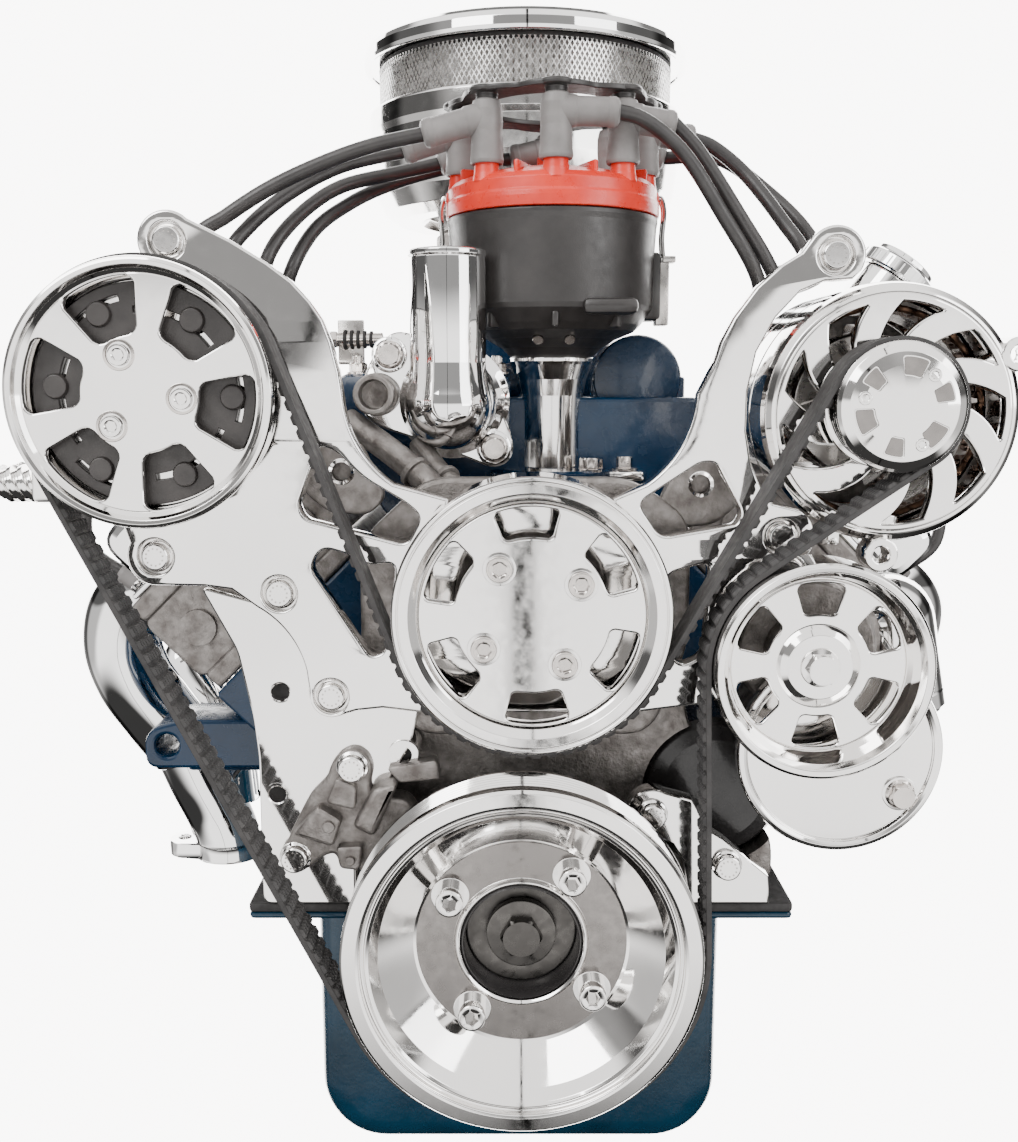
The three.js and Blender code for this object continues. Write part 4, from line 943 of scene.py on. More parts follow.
# ---- compressor ----------------------------------------------------------------------------------
def compressor():
    piece = Piece("ac_compressor_visual")
    body = [(0, -391.6), (21.6, -391.6), (21.8, -384), (30, -380), (30, -372.8), (56.6, -372.8), (58, -371),
            (58, -352), (56.8, -350.6), (56.8, -348.4), (58, -347), (58, -317), (56.6, -315.6),
            (56.6, -313.4), (58, -312), (58, -290), (56.8, -288.6), (56.8, -286.4), (58, -285), (58, -276),
            (55, -268), (50, -264.2), (0, -264)]
    piece.add(POLISHED, across(fillet(body, 1.0, 3), *COMPRESSOR, 128))
    for angle in (22, 67, 112, 202, 247, 292, 337):
        x, z = polar(*COMPRESSOR, 50.5, angle)
        piece.add(POLISHED, rod(6.2, (x, -372.9, z), (x, -266, z), 0.8, 32))
        piece.add(PLATED, *socket_screw(x, z, -372.6, 3.6, 0.2, angle))
    piece.add(POLISHED, box(-268, -228, -352, -300, 459, 499, 4))
    for y in (-339, -314):
        for i in range(7):
            x = -268 - 3.1 * i
            piece.add(POLISHED, rod(11.2 if i % 2 else 9.2, (x + 0.2, y, 470), (x - 2.7, y, 468.8), 0.5, 40))
        piece.add(POLISHED, rod(7, (-288, y, 469.2), (-291.5, y, 468.6), 0.8, 32))
    piece.add(BLACK_ENAMEL, rod(5.4, (-291, -339, 468.6), (-291.9, -339, 468.5), 0.3, 24))
    piece.make("engine", "polished_aluminium", "ac_compressor")


# ---- steering pump --------------------------------------------------------------------------------
def steering_pump():
    piece = Piece("power_steering_pump_visual")
    piece.add(CAST, across(fillet([(8.5, -402), (15, -402), (16.4, -399), (19.4, -397), (20, -373),
                                   (26, -370.5), (8.5, -370)], 1, 3), *STEERING, 64))
    piece.add(CAST, across(fillet([(0, -373), (36, -373), (38, -369), (38, -318), (33, -305), (20, -300),
                                   (0, -300)], 1.6, 3), STEER_X + 4, STEER_Z, 72))
    piece.add(CAST, across(fillet([(0, -373), (45, -373), (47, -370), (47, -326), (42, -320.2), (0, -320)],
                                  1.6, 3), *CAN, 96))
    made = piece.make("engine", "cast_aluminium", "power_steering_pump")
    bored(made, across([(0, -345), (42.8, -345), (42.8, -250), (0, -250)], *FILTER, 64))


def steering_cover():
    cover = Piece("power_steering_cover_visual")
    cover.add(POLISHED, across(fillet([(0, -386.6), (38, -386.6), (49.4, -386), (50, -388), (52, -389),
                                       (54.2, -388.6), (55, -387), (55, -381.6), (52, -379), (30, -376.2),
                                       (0, -374)], 0.9, 3), *CAN, 144))
    made = cover.make("engine", "polished_aluminium", "power_steering_cover")
    bored(made, across([(0, -410), (21.2, -410), (21.2, -360), (0, -360)], *STEERING, 64))
    extra = Piece("power_steering_cover_bolt")
    extra.add(PLATED, *hex_bolt(*COVER_BOLT, -386.4, 6.8, 8, 12))
    extra.add(TURNED, across(fillet([(9.4, -386.4), (9.4, -387.6), (7.8, -387.8)], 0.3, 2), *COVER_BOLT, 40))
    extra.make("engine", "steel")


def steering_reservoir():
    can = Piece("power_steering_reservoir_visual")
    foot, top = Vector((217, -334, 338)), Vector((207, -334, 391))
    length = (top - foot).length
    dome = [(27.8 * math.cos(math.radians(a)), length + 27.4 * math.sin(math.radians(a)))
            for a in range(0, 91, 9)]
    shape = [(0, 1), (24, 1), (26.6, 2), (27.8, 4), (27.8, 12), (27.2, 13), (27.8, 14)] + dome
    can.add(CHROME, turn(shape, foot, top - foot, 96))
    made = can.make("engine", "chrome", "power_steering_reservoir")
    bored(made, across([(0, -380), (38.4, -380), (38.4, -290), (0, -290)], STEER_X + 4, STEER_Z, 72),
          across([(0, -380), (47.4, -380), (47.4, -318), (0, -318)], *CAN, 72))


# ---- distributor ------------------------------------------------------------------------------------
DISTRIBUTOR = DIST_X, DIST_Y = centre("distributor_cap", "xy")
TOWER_RING = 56.0


def tower_place(index):
    angle = math.pi * index / 4
    return DIST_X + TOWER_RING * math.cos(angle), DIST_Y + TOWER_RING * math.sin(angle)


def distributor_housing():
    bowl = Piece("distributor_housing_visual")
    bowl.add(CHARCOAL, upright(fillet([(20, 540), (25.6, 540.6), (31, 546), (40, 551.4), (51, 556),
                                       (55, 560), (61.6, 568), (62.6, 571), (63.2, 600), (64.2, 618),
                                       (64.8, 621), (64.8, 623.6), (57, 623.6), (56, 573), (48, 562),
                                       (22, 560)], 1.2, 3), *DISTRIBUTOR, 128))
    bowl.add(CHARCOAL, box(DIST_X + 16, DIST_X + 48, DIST_Y - 63.5, DIST_Y - 44, 564, 573, 3.5))
    bowl.add(CHARCOAL, box(DIST_X + 55, DIST_X + 67, DIST_Y - 12, DIST_Y + 12, 563, 604, 3))
    for angle in (-40, 0, 40):
        bowl.add(CHARCOAL, turned_about(box(DIST_X - 2, DIST_X + 2, DIST_Y - 60, DIST_Y - 30, 557, 566, 1.4),
                                        (*DISTRIBUTOR, 0), "Z", angle))
    neck = [(19.6, 473), (19.6, 508), (20.2, 517), (22, 527), (25.4, 536), (26.4, 538), (26.4, 540),
            (25.4, 541), (8, 541)]
    bowl.add(TURNED, upright([(14, 400), (14, 440), (19.6, 442), (19.6, 446), (17.6, 447), (17.6, 450),
                              (19.6, 451), (19.6, 462), (18.2, 463), (18.2, 466), (19.6, 467), (19.6, 470)]
                             + fillet(neck, 0.7, 3), *DISTRIBUTOR, 96))
    for x in (DIST_X - 9.5, DIST_X + 9.5):
        y = DIST_Y - math.sqrt(41 ** 2 - (x - DIST_X) ** 2)
        bowl.add(PLATED, rod(3.4, (x, y + 2, 553), (x, y - 1.6, 549.6), 0.6, 24))
    bowl.make("engine", "black_plastic", "distributor_housing")


def distributor_cap():
    cap = Piece("distributor_cap_visual")
    crown = fillet([(0, 652), (24, 651.6), (40, 650), (54, 646.4), (61, 643.6), (64, 640.4), (64.4, 634),
                    (65.2, 632.6), (65.5, 630), (65.5, 624.2), (58.2, 624), (58, 634), (40, 640), (0, 640)],
                   1.0, 3)
    cap.add(RED, upright(crown, *DISTRIBUTOR, 160))
    for k in range(8):
        x, y = tower_place(k)
        cap.add(RED, upright(fillet([(8.6, 640), (7.6, 645), (7.1, 650), (7.1, 654.4), (5.6, 655.4),
                                     (0, 655.4)], 0.7, 3), x, y, 48))
        gusset = box(DIST_X + 30, DIST_X + 60, DIST_Y - 1.6, DIST_Y + 1.6, 640, 650.6, 1.3)
        cap.add(RED, turned_about(gusset, (*DISTRIBUTOR, 0), "Z", 45 * (k + 0.5)))
    cap.add(RED, upright(fillet([(13, 650), (11, 653), (9.6, 656), (9.4, 661), (6, 662), (0, 662)], 0.8, 3),
                         *DISTRIBUTOR, 48))
    for angle in (0, 180):
        cap.add(RED, turned_about(box(DIST_X + 56, DIST_X + 65.4, DIST_Y - 8, DIST_Y + 8, 624.1, 640, 2),
                                  (*DISTRIBUTOR, 0), "Z", angle))
    cap.make("engine", "red_plastic", "distributor_cap")


def distributor_clips():
    clips = Piece("distributor_clips")
    for way in (-1, 1):
        x = DIST_X + way * 67.4
        for y in (DIST_Y - 4, DIST_Y + 4):
            wire = [(-3.6, 634), (-1, 637), (1.5, 630), (0.6, 612), (2.4, 596), (4, 590)]
            clips.add(TURNED, sweep([(x + way * stand, y, z) for stand, z in wire], 1.4, 6, 12))
        clips.add(TURNED, box(min(x - way * 3, x + way * 5), max(x - way * 3, x + way * 5), DIST_Y - 6,
                              DIST_Y + 6, 592, 601, 0.8))
        clips.add(PLATED, rod(2.8, (x + way * 1, DIST_Y - 9, 586), (x + way * 1, DIST_Y + 9, 586), 0.5, 20))
    clips.add(STEEL, box(84, 92, -250, -236, 560, 598, 1), box(88, 96, -249, -238, 598, 602, 0.8))
    clips.make("engine", "steel")


def distributor_clamp():
    clamp = Piece("distributor_clamp")
    clamp.add(TURNED, upright(fillet([(20, 463), (33, 463), (34, 465), (34, 470), (32, 471), (20, 471)], 0.8,
                                     2), *DISTRIBUTOR, 72))
    clamp.add(TURNED, box(46, 78, -256, -236, 463.5, 470, 1.8))
    for x, y, reach in ((66, -246, 9.5), (44, -262, 7)):
        clamp.add(PLATED, turn([(reach, 0), (reach, 1.6), (7.4, 2), (7.4, 2.4, 6), (7.4, 8, 6), (6.2, 9),
                                (0, 9)], (x, y, 470), (0, 0, 1), 48))
    clamp.make("engine", "steel")


# ---- ignition leads -------------------------------------------------------------------------------
LEAD = 4.25
BORE_PITCH = 111.0
# For each lead: the tower it starts from, and its run from the end of its boot to behind the bracket.
LEAD_RUNS = {
    -1: [(5, [(-57, -283, 666), (-84, -285, 660), (-111, -286, 651), (-144, -288, 636), (-170, -289, 620),
              (-187, -288, 608), (-172, -232, 572)]),
         (4, [(-72, -245, 664), (-108, -258, 653), (-137, -268, 636), (-160, -278, 615), (-170, -281, 601),
              (-165, -186, 568)]),
         (3, [(-52, -205, 664), (-76, -215, 657), (-111, -235, 645), (-131, -250, 629), (-147, -266, 607),
              (-153, -268, 593), (-160, -136, 564)]),
         (2, [(-6, -184, 671), (-24, -183.5, 669), (-50, -188, 664), (-84, -205, 651), (-106, -225, 637),
              (-127, -245, 617), (-141, -256, 588), (-152, -88, 560)])],
    1: [(6, [(56, -298, 675), (68, -297, 672), (91, -293, 656), (117, -290, 620), (139, -285, 585),
             (152, -240, 548)]),
        (7, [(90, -281, 671), (101, -281, 660), (127, -283, 622), (150, -280, 586), (166, -190, 560)]),
        (0, [(107, -240, 672), (117, -241, 668), (136, -246, 652), (158, -260, 621), (171, -266, 600),
             (177, -140, 573)]),
        (1, [(94, -203, 668), (125, -222, 664), (156, -235, 640), (176, -246, 617), (187, -247, 598),
             (189, -82, 585)])],
}


def plug_y(bay, side):
    """How far back the spark plug of a cylinder stands."""
    return (bay - 1.5) * BORE_PITCH + side * 11 - 12


def elbow_boot(x, y, end):
    """A moulded sleeve over a tower, with an arm that leaves it level for the start of the lead."""
    arm_height = 676.5
    sleeve = fillet([(7.5, 654), (7.5, 650), (9.3, 650), (9.9, 652), (9.4, 656), (8.9, 668), (9.3, 672),
                     (9.2, 680), (8, 685), (4.6, 687), (0, 687.4)], 1.0, 3)
    joint = Vector((x, y, arm_height))
    run = Vector(end) - joint
    reach = run.length
    arm = fillet([(0, 0), (8.6, 0), (8.8, reach * 0.3), (8.1, reach * 0.34), (8.0, reach - 7),
                  (8.4, reach - 6), (8.4, reach - 3), (7.2, reach - 1), (5.2, reach), (0, reach)], 0.9, 3)
    return [upright(sleeve, x, y, 48), turn(arm, joint, run, 48)]


def ignition_leads():
    for away, runs in LEAD_RUNS.items():
        for index, (tower, run) in enumerate(runs):
            number = index + (5 if away > 0 else 1)
            x, y = tower_place(tower)
            piece = Piece(f"ignition_lead_{number}_visual").add(BOOT, *elbow_boot(x, y, run[0]))
            plug = plug_y(index, away)
            route = [Vector(run[0]) * 1.25 - Vector(run[1]) * 0.25, *run, (away * 228, plug, 542),
                     (away * 292, plug, 455), (away * 296, plug, 414), (away * 266, plug, 390)]
            piece.add(LEAD_MAT, sweep(route, LEAD, 14, 20))
            piece.add(BOOT, turn(fillet([(0, 0), (6, 0), (7.2, 3), (7.6, 14), (7.2, 21), (6, 22), (0, 22)],
                                        1, 3), (away * 276, plug, 396), (-away * 0.85, 0, -0.53), 36))
            piece.make("engine", "lead_silicone", f"ignition_lead_{number}")


def lead_retainer():
    """A disc with one lobe over each tower."""
    lobes = []
    for degrees in range(0, 360, 3):
        nearest = min(abs((degrees - 45 * k + 180) % 360 - 180) for k in range(8))
        bulge = 9.5 * math.cos(math.radians(nearest * 3.0)) if nearest < 22.6 else 0
        lobes.append(polar(*DISTRIBUTOR, TOWER_RING - 1 + max(bulge, 0), degrees))
    keeper = Piece("lead_retainer")
    flat = plate([lobes, circle(*DISTRIBUTOR, TOWER_RING - 14, 72)], -1.6, 1.6, 0.8, 3)
    keeper.add(CHARCOAL, ([Vector((p.x, p.z, 690.6 + p.y)) for p in flat[0]], flat[1]))
    for k in range(8):
        x, y = tower_place(k)
        keeper.add(CHARCOAL, upright(fillet([(0, 686), (6.4, 686), (6.4, 689), (10.6, 689.4), (11, 691),
                                             (10, 692.6), (6, 693.2), (0, 693.4)], 0.8, 3), x, y, 40))
    keeper.make("engine", "black_plastic")


for build in (alternator_housing, alternator_stator, alternator_rotor, compressor, steering_pump,
              steering_cover, steering_reservoir, distributor_housing, distributor_cap, distributor_clips,
              distributor_clamp, ignition_leads, lead_retainer):
    build()


# ---- block, heads and covers ------------------------------------------------------------------------
HALF_ROOT = math.sqrt(0.5)
DECK = 208.4


def deck_point(side, over, up):
    """A point on a bank's end view: over runs down and out along the deck, up stands off it."""
    reach = (DECK + up) * HALF_ROOT
    return side * (reach + over * HALF_ROOT), CRANK_Z + reach - over * HALF_ROOT


def bank_solid(side, over0, over1, up0, up1, y0, y1, corner=6, bevel=2.5):
    loop = [deck_point(side, over0, up0), deck_point(side, over1, up0), deck_point(side, over1, up1),
            deck_point(side, over0, up1)]
    return plate([rounded_loop(loop, corner)], y0, y1, bevel, 3)


def bank_axis(side):
    """The two directions of a bank's end view, as vectors."""
    return Vector((side * HALF_ROOT, 0, -HALF_ROOT)), Vector((side * HALF_ROOT, 0, HALF_ROOT))


def engine_block():
    piece = Piece("engine_block_visual")
    half = [(0, 236.6), (148, 236.6), (148, 247), (134, 250), (132, 262), deck_point(1, 70, -72),
            deck_point(1, 70, 0), deck_point(1, -74, 0), deck_point(1, -74, -22), (40, 392), (0, 392)]
    outline = half + [(-x, z) for x, z in half[::-1][1:-1]]
    piece.add(BLUE, plate([rounded_loop(outline, 4), circle(CRANK_X, CRANK_Z + 34, 26, 40)], -255, 241, 2, 3))
    bell = arc(*CRANK, 189.5, 3, 177, 60)
    piece.add(BLUE, plate([bell], 241, 255, 2, 3))
    for side in (-1, 1):
        down = bank_axis(side)[0]
        for bay in range(4):
            y = (bay - 1.5) * BORE_PITCH + 11 * side
            place = Vector((*deck_point(side, 66, -46), 0))
            centre = Vector((place.x, y, place.y))
            piece.add(BLUE, rod(19, centre - down * 4, centre + down * 7, 1.2, 48))
            piece.add(TURNED, turn(fillet([(17, 0), (17, 1.2), (15.5, 2.4), (14, 1), (0, 0.4)], 0.6, 3),
                                   centre + down * 7, down, 48))
        for bay in range(5):
            y = (bay - 2) * BORE_PITCH
            foot, top = Vector((*deck_point(side, 69, -70), 0)), Vector((*deck_point(side, 69, -8), 0))
            piece.add(BLUE, rod(8, (foot.x, min(max(y, -244), 230), foot.y),
                                (top.x, min(max(y, -244), 230), top.y), 2, 24))
    ear = [(-246, 274), (-150, 274), (-150, 307), (-222, 307), (-240, 302), (-246, 294)]
    piece.add(BLUE, plate([rounded_loop(ear, 11), circle(-231.2, 289.5, 7.6, 32)], -250, -205, 2.5, 3))
    piece.add(BLUE, box(-222, -150, -238, -214, 268, 275, 3))
    piece.add(BLUE, box(132, 186, -250, -205, 237, 290, 4))
    for x in (-60, 0, 60):
        piece.add(BLUE, rod(4, (x, 236, 250.2 + abs(x) * 0.2), (x, 256, 250.2 + abs(x) * 0.2), 1, 20))
    piece.make("engine", "blue_enamel", "engine_block")


def cylinder_head(label, side):
    down, out = bank_axis(side)
    head = Piece(f"cylinder_head_{label}_visual")
    head.add(CAST, bank_solid(side, -72, 66, 0.6, 14, -253, 253, 4),
             bank_solid(side, -70, 70, 12, 66, -251, 251, 9),
             bank_solid(side, -72, 68, 64, 78, -253, 253, 5))
    for bay in range(4):
        y = (bay - 1.5) * BORE_PITCH
        place = Vector((*deck_point(side, 68, 40), 0))
        centre = Vector((place.x, y, place.y))
        head.add(CAST, rod(22, centre - down * 4, centre + down * 1.8, 1.5, 48))
        plug = plug_y(bay, side)
        spot = Vector((*deck_point(side, 66, 24), 0))
        head.add(TURNED, turn([(9, 0), (9, 4), (8.4, 4.4, 6), (8.4, 9, 6), (5, 10), (4.6, 24), (0, 24)],
                              Vector((spot.x, plug, spot.y)), down * 0.9 + out * 0.4, 36))
    for end in (-253, 253):
        way = -1 if end < 0 else 1
        for over in (-48, 0, 46):
            x, z = deck_point(side, over, 38)
            head.add(CAST, rod(12, (x, end - way * 3, z), (x, end + way * 0.6, z), 0.5, 36))
    head.make("engine", "cast_aluminium", f"cylinder_head_{label}")


def valve_cover(label, side):
    out = bank_axis(side)[1]
    cover = Piece(f"valve_cover_{label}_visual")
    cover.add(CHROME, bank_solid(side, -66, 62, 78.6, 82.5, -250, 250, 2, 1),
              bank_solid(side, -59, 55, 80, 124, -243, 243, 16, 8))
    for step in range(6):
        over = -40 + 15 * step
        low, high = Vector((*deck_point(side, over, 124), 0)), Vector((*deck_point(side, over, 126.6), 0))
        fin = [Vector((low.x, y, low.y)) for y in (-190, 190)]
        lift = Vector((high.x - low.x, 0, high.y - low.y))
        cover.add(CHROME, turned_bar(fin[0], fin[1], lift, 2.6))
    for y in (-244, -82, 82, 244):
        for over in (-62.4, 58.4):
            x, z = deck_point(side, over, 82)
            spread = 0 if abs(y) < 200 else (8 if y > 0 else -8)
            cover.add(TURNED, bolt_head((x, max(min(y - spread, 244), -244), z), out, 6, 4.4, 5.4))
    cover.make("engine", "chrome", f"valve_cover_{label}")


def turned_bar(start, end, lift, half):
    """A low rib with a rounded top from start to end, standing along lift."""
    run = (end - start).normalized()
    side = run.cross(lift).normalized()
    tall = lift.length
    ring = [(-half, 0), (-half * 0.8, tall * 0.7), (-half * 0.35, tall), (half * 0.35, tall),
            (half * 0.8, tall * 0.7), (half, 0)]
    up = lift.normalized()
    points = [base + side * a + up * b for base in (start, end) for a, b in ring]
    count = len(ring)
    faces = [[i, (i + 1) % count, count + (i + 1) % count, count + i] for i in range(count)]
    return points, faces + [list(range(count)), list(range(count, 2 * count))]


def oblong(half_x, half_y, corner):
    return rounded_loop([(-half_x, -half_y), (half_x, -half_y), (half_x, half_y), (-half_x, half_y)], corner)


def intake():
    piece = Piece("intake_manifold_visual")
    valley = [(-88, 446), (-50, 404), (50, 404), (88, 446), (117, 508), (112, 516), (-112, 516), (-117, 508)]
    piece.add(BLUE, plate([rounded_loop(valley, 6)], -250, 238, 3, 3))
    piece.add(BLUE, level_plate([oblong(70, 75, 6), circle(0, 0, 45, 96)], 505, 560, 2))
    for side in (-1, 1):
        for bay in range(4):
            y = (bay - 1.5) * BORE_PITCH
            piece.add(BLUE, sweep([(side * 30, y * 0.3, 530), (side * 66, y * 0.62, 526),
                                   (side * 96, y * 0.9, 506), (side * 108, y, 494)], lambda t: 20 - 2 * t, 8,
                                  28))
    piece.add(BLUE, box(-110, -6, -285, -236, 487, 530, 6))
    piece.add(BLUE, sweep([(-58, -262, 508), (-40, -225, 514), (0, -180, 520), (6, -120, 520)], 19, 8, 28))
    piece.add(BLUE, upright(fillet([(24.5, 466), (40, 466), (40, 470), (36, 472), (36, 462), (24.5, 460)], 1,
                                   2), *DISTRIBUTOR, 64))
    piece.add(BLUE, box(47, 107, -224.4, -180, 466, 529, 2))
    piece.add(BLUE, across([(0, -226), (24, -226), (27.4, -225.4), (28.4, -223.6), (28.4, -181), (0, -180)],
                           76, 527, 96))
    for x, y, z in ((-14, -270, 530), (-98, -270, 530)):
        piece.add(PLATED, rod(3.2, (x, y, z - 2), (x, y, z + 11), 0.5, 20))
        piece.add(PLATED, bolt_head((x, y, z), (0, 0, 1), 7, 5.6, 6, 1.0, 0.8))
    piece.make("engine", "blue_enamel", "intake_manifold")


def carburetor():
    piece = Piece("carburetor_visual")
    bores = [circle(x, y, 19, 48) for x in (-25, 25) for y in (-25, 25)]
    piece.add(CAST, level_plate([oblong(62, 72, 4), *bores], 560.4, 566, 1.2),
              level_plate([oblong(58, 68, 5), *bores], 566, 600, 1.6))
    piece.add(CAST, box(-50, 50, -100, 100, 602, 638, 4), box(-55, 55, -97, -60, 604, 636, 3),
              box(-55, 55, 60, 97, 604, 636, 3))
    piece.add(CAST, upright(fillet([(0, 636), (66, 636), (66, 642), (61, 646), (61, 664), (64, 667),
                                    (64, 671.6), (0, 671.6)], 1, 3), 0, 0, 96))
    for y, way in ((-100, -1), (100, 1)):
        for x in (-30, 30):
            piece.add(PLATED, rod(7, (x, y - way * 2, 612), (x, y + way * 4, 612), 0.6, 32))
        piece.add(CAST, box(-46, 46, y - 3, y + 3, 606, 634, 2))
    for x in (-54, 54):
        for y in (-64, 64):
            piece.add(PLATED, bolt_head((x, y, 566), (0, 0, 1), 8, 6.6, 6.6, 1.0, 0.8))
    piece.make("engine", "cast_aluminium", "carburetor")


# ---- air cleaner -----------------------------------------------------------------------------------
CLEANER = centre("air_cleaner_lid", "xy")


def air_cleaner_base():
    base = Piece("air_cleaner_base_visual")
    bowl = fillet([(58, 672.2), (73, 672.2), (76, 668), (78, 658), (84, 652.4), (102, 652.4), (112, 658.4),
                   (119, 671), (121.5, 690), (122.4, 714), (123.8, 718.6), (124, 726), (123.8, 732),
                   (122.6, 734), (121, 733), (119.8, 716), (118, 690), (106, 690), (106, 687.4),
                   (116, 687.4), (115, 676), (110, 664), (101, 655.4), (84.6, 655.4), (80.6, 660),
                   (77.6, 675), (58, 675), (58, 672.2)], 1.4, 3)
    base.add(TURNED, upright(bowl, *CLEANER, 192))
    base.make("engine", "chrome", "air_cleaner_base")


def filter_element():
    element = Piece("air_filter_element_visual")
    for z in (690.4, 765.8):
        ring = fillet([(104.2, z), (115.4, z), (115.8, z + 1.6), (115.4, z + 3.8), (104.2, z + 3.8),
                       (104.2, z)], 0.8, 2)
        element.add(GASKET_AND_HOLE_SHADE, upright(ring, *CLEANER, 144))
    pleats = 144
    points, faces = [], []
    for z in (693.6, 766.4):
        for i in range(pleats * 2):
            x, y = polar(*CLEANER, 113.2 if i % 2 else 105.2, 180 * i / pleats)
            points.append(Vector((x, y, z)))
    count = pleats * 2
    for i in range(count):
        j = (i + 1) % count
        faces.append([i, j, count + j, count + i])
    element.add(GAUZE, (points, faces))
    element.add(WIRE, gauze(115.2, 712.0, 767.0))
    element.make("engine", "filter_gauze", "air_filter_element")


def air_cleaner_lid():
    lid = Piece("air_cleaner_lid_visual")
    dome = fillet([(4, 790.8), (60, 790.6), (100, 788.6), (114, 786.6), (122, 783.4), (125.6, 780.4),
                   (127.2, 776.6), (127.4, 770.6), (126.8, 768), (125.4, 767.2), (123.8, 767.8),
                   (122.8, 770.4), (119, 770.3), (4, 770.3), (4, 790.8)], 1.2, 3)
    lid.add(CHROME, upright(dome, *CLEANER, 192))
    lid.make("engine", "chrome", "air_cleaner_lid")


def air_cleaner_nut():
    nut = Piece("air_cleaner_nut_visual")
    rim = [polar(*CLEANER, 57.2 + 2.6 * math.cos(math.radians(34 * a)), a)
           for a in [360 * i / 408 for i in range(408)]]
    nut.add(TURNED, level_plate([rim], 791.3, 803.8, 1.6))
    nut.add(TURNED, upright(fillet([(46, 803.4), (44, 805), (30, 809.6), (12, 811.6), (0, 811.8)], 1, 3),
                            *CLEANER, 96), rod(3.3, (*CLEANER, 600), (*CLEANER, 792), 0.3, 24))
    nut.make("engine", "chrome", "air_cleaner_nut")


def gauze(radius, low, high):
    """Expanded-metal gauze round the element: a lattice of thin strands."""
    columns, rows = 190, 17
    strand = 0.42
    points, faces = [], []
    for row in range(rows):
        z0, z1 = low + (high - low) * row / rows, low + (high - low) * (row + 1) / rows
        for column in range(columns):
            for way in (-1, 1):
                a0 = 360 * (column + 0.25 * way + (0.5 if row % 2 else 0)) / columns
                a1 = 360 * (column - 0.25 * way + (0.5 if row % 2 else 0)) / columns
                base = len(points)
                for a, z in ((a0, z0), (a1, z1)):
                    for r, s in ((radius - 0.35, -1), (radius + 0.35, -1), (radius + 0.35, 1),
                                 (radius - 0.35, 1)):
                        x, y = polar(*CLEANER, r, a + s * math.degrees(strand / radius))
                        points.append(Vector((x, y, z)))
                for k in range(4):
                    n = (k + 1) % 4
                    faces.append([base + k, base + n, base + 4 + n, base + 4 + k])
                faces.append([base, base + 1, base + 2, base + 3])
                faces.append([base + 4, base + 5, base + 6, base + 7])
    return points, faces


# ---- coolant side ------------------------------------------------------------------------------------
def water_pump():
    piece = Piece("water_pump_housing_visual")
    outline = [(-88, 372), (-60, 331), (72, 331), (92, 380), (92, 452), (60, 474), (-52, 474), (-88, 440)]
    piece.add(CAST, plate([rounded_loop(outline, 14), circle(*PUMP, 9.4, 24)], -359.8, -345.4, 2.4, 3))
    nose = fillet([(9.4, -393.6), (24, -393.6), (26, -391), (27, -378), (31, -372), (47, -361), (50, -358),
                   (9.4, -357)], 1.6, 3)
    piece.add(CAST, across(nose, *PUMP, 96))
    piece.make("engine", "cast_aluminium", "water_pump_housing")


def cover_lugs():
    lugs = Piece("cover_lugs")
    for x, z, way in ((96.9, 470.5, 1), (-97.1, 477.3, -1)):
        lug = [(x - way * 24, z - 14), (x - way * 10, z + 16), (x + way * 16, z + 18),
               (x + way * 22, z - 10), (x + way * 8, z - 22), (x - way * 14, z - 24)]
        lugs.add(CAST, plate([rounded_loop(lug, 6), circle(x, z, 5.2, 28)], -358, -345.6, 1.8, 3),
                 across([(5.3, -350), (0, -350), (0, -346), (5.3, -346)], x, z, 24))
        lugs.add(TURNED, across([(5.2, -357.6), (6.8, -358.4), (7.6, -357.6), (5.2, -357.6)], x, z, 32))
    lugs.make("engine", "cast_aluminium")


def water_pump_impeller():
    wheel = Piece("water_pump_impeller_visual")
    wheel.add(STEEL, across(fillet([(0, -412.9), (25, -412.9), (26, -411.6), (26, -405.4), (24, -404),
                                    (9, -403.6), (9, -349), (0, -348)], 0.6, 2), *PUMP, 64))
    wheel.add(STEEL, across(fillet([(9, -350), (38, -350), (38, -347.8), (0, -347.6)], 0.4, 2), *PUMP, 64))
    for k in range(6):
        blade = [polar(*PUMP, r, 60 * k + a) for r, a in ((11, 0), (25, 8), (37, 20))]
        blade += [polar(*PUMP, r, 60 * k + a) for r, a in ((37, 24), (25, 14), (11, 12))]
        wheel.add(STEEL, plate([blade], -353, -349.6, 0.3, 1))
    wheel.make("water_pump_wheel", "steel", "water_pump_impeller")


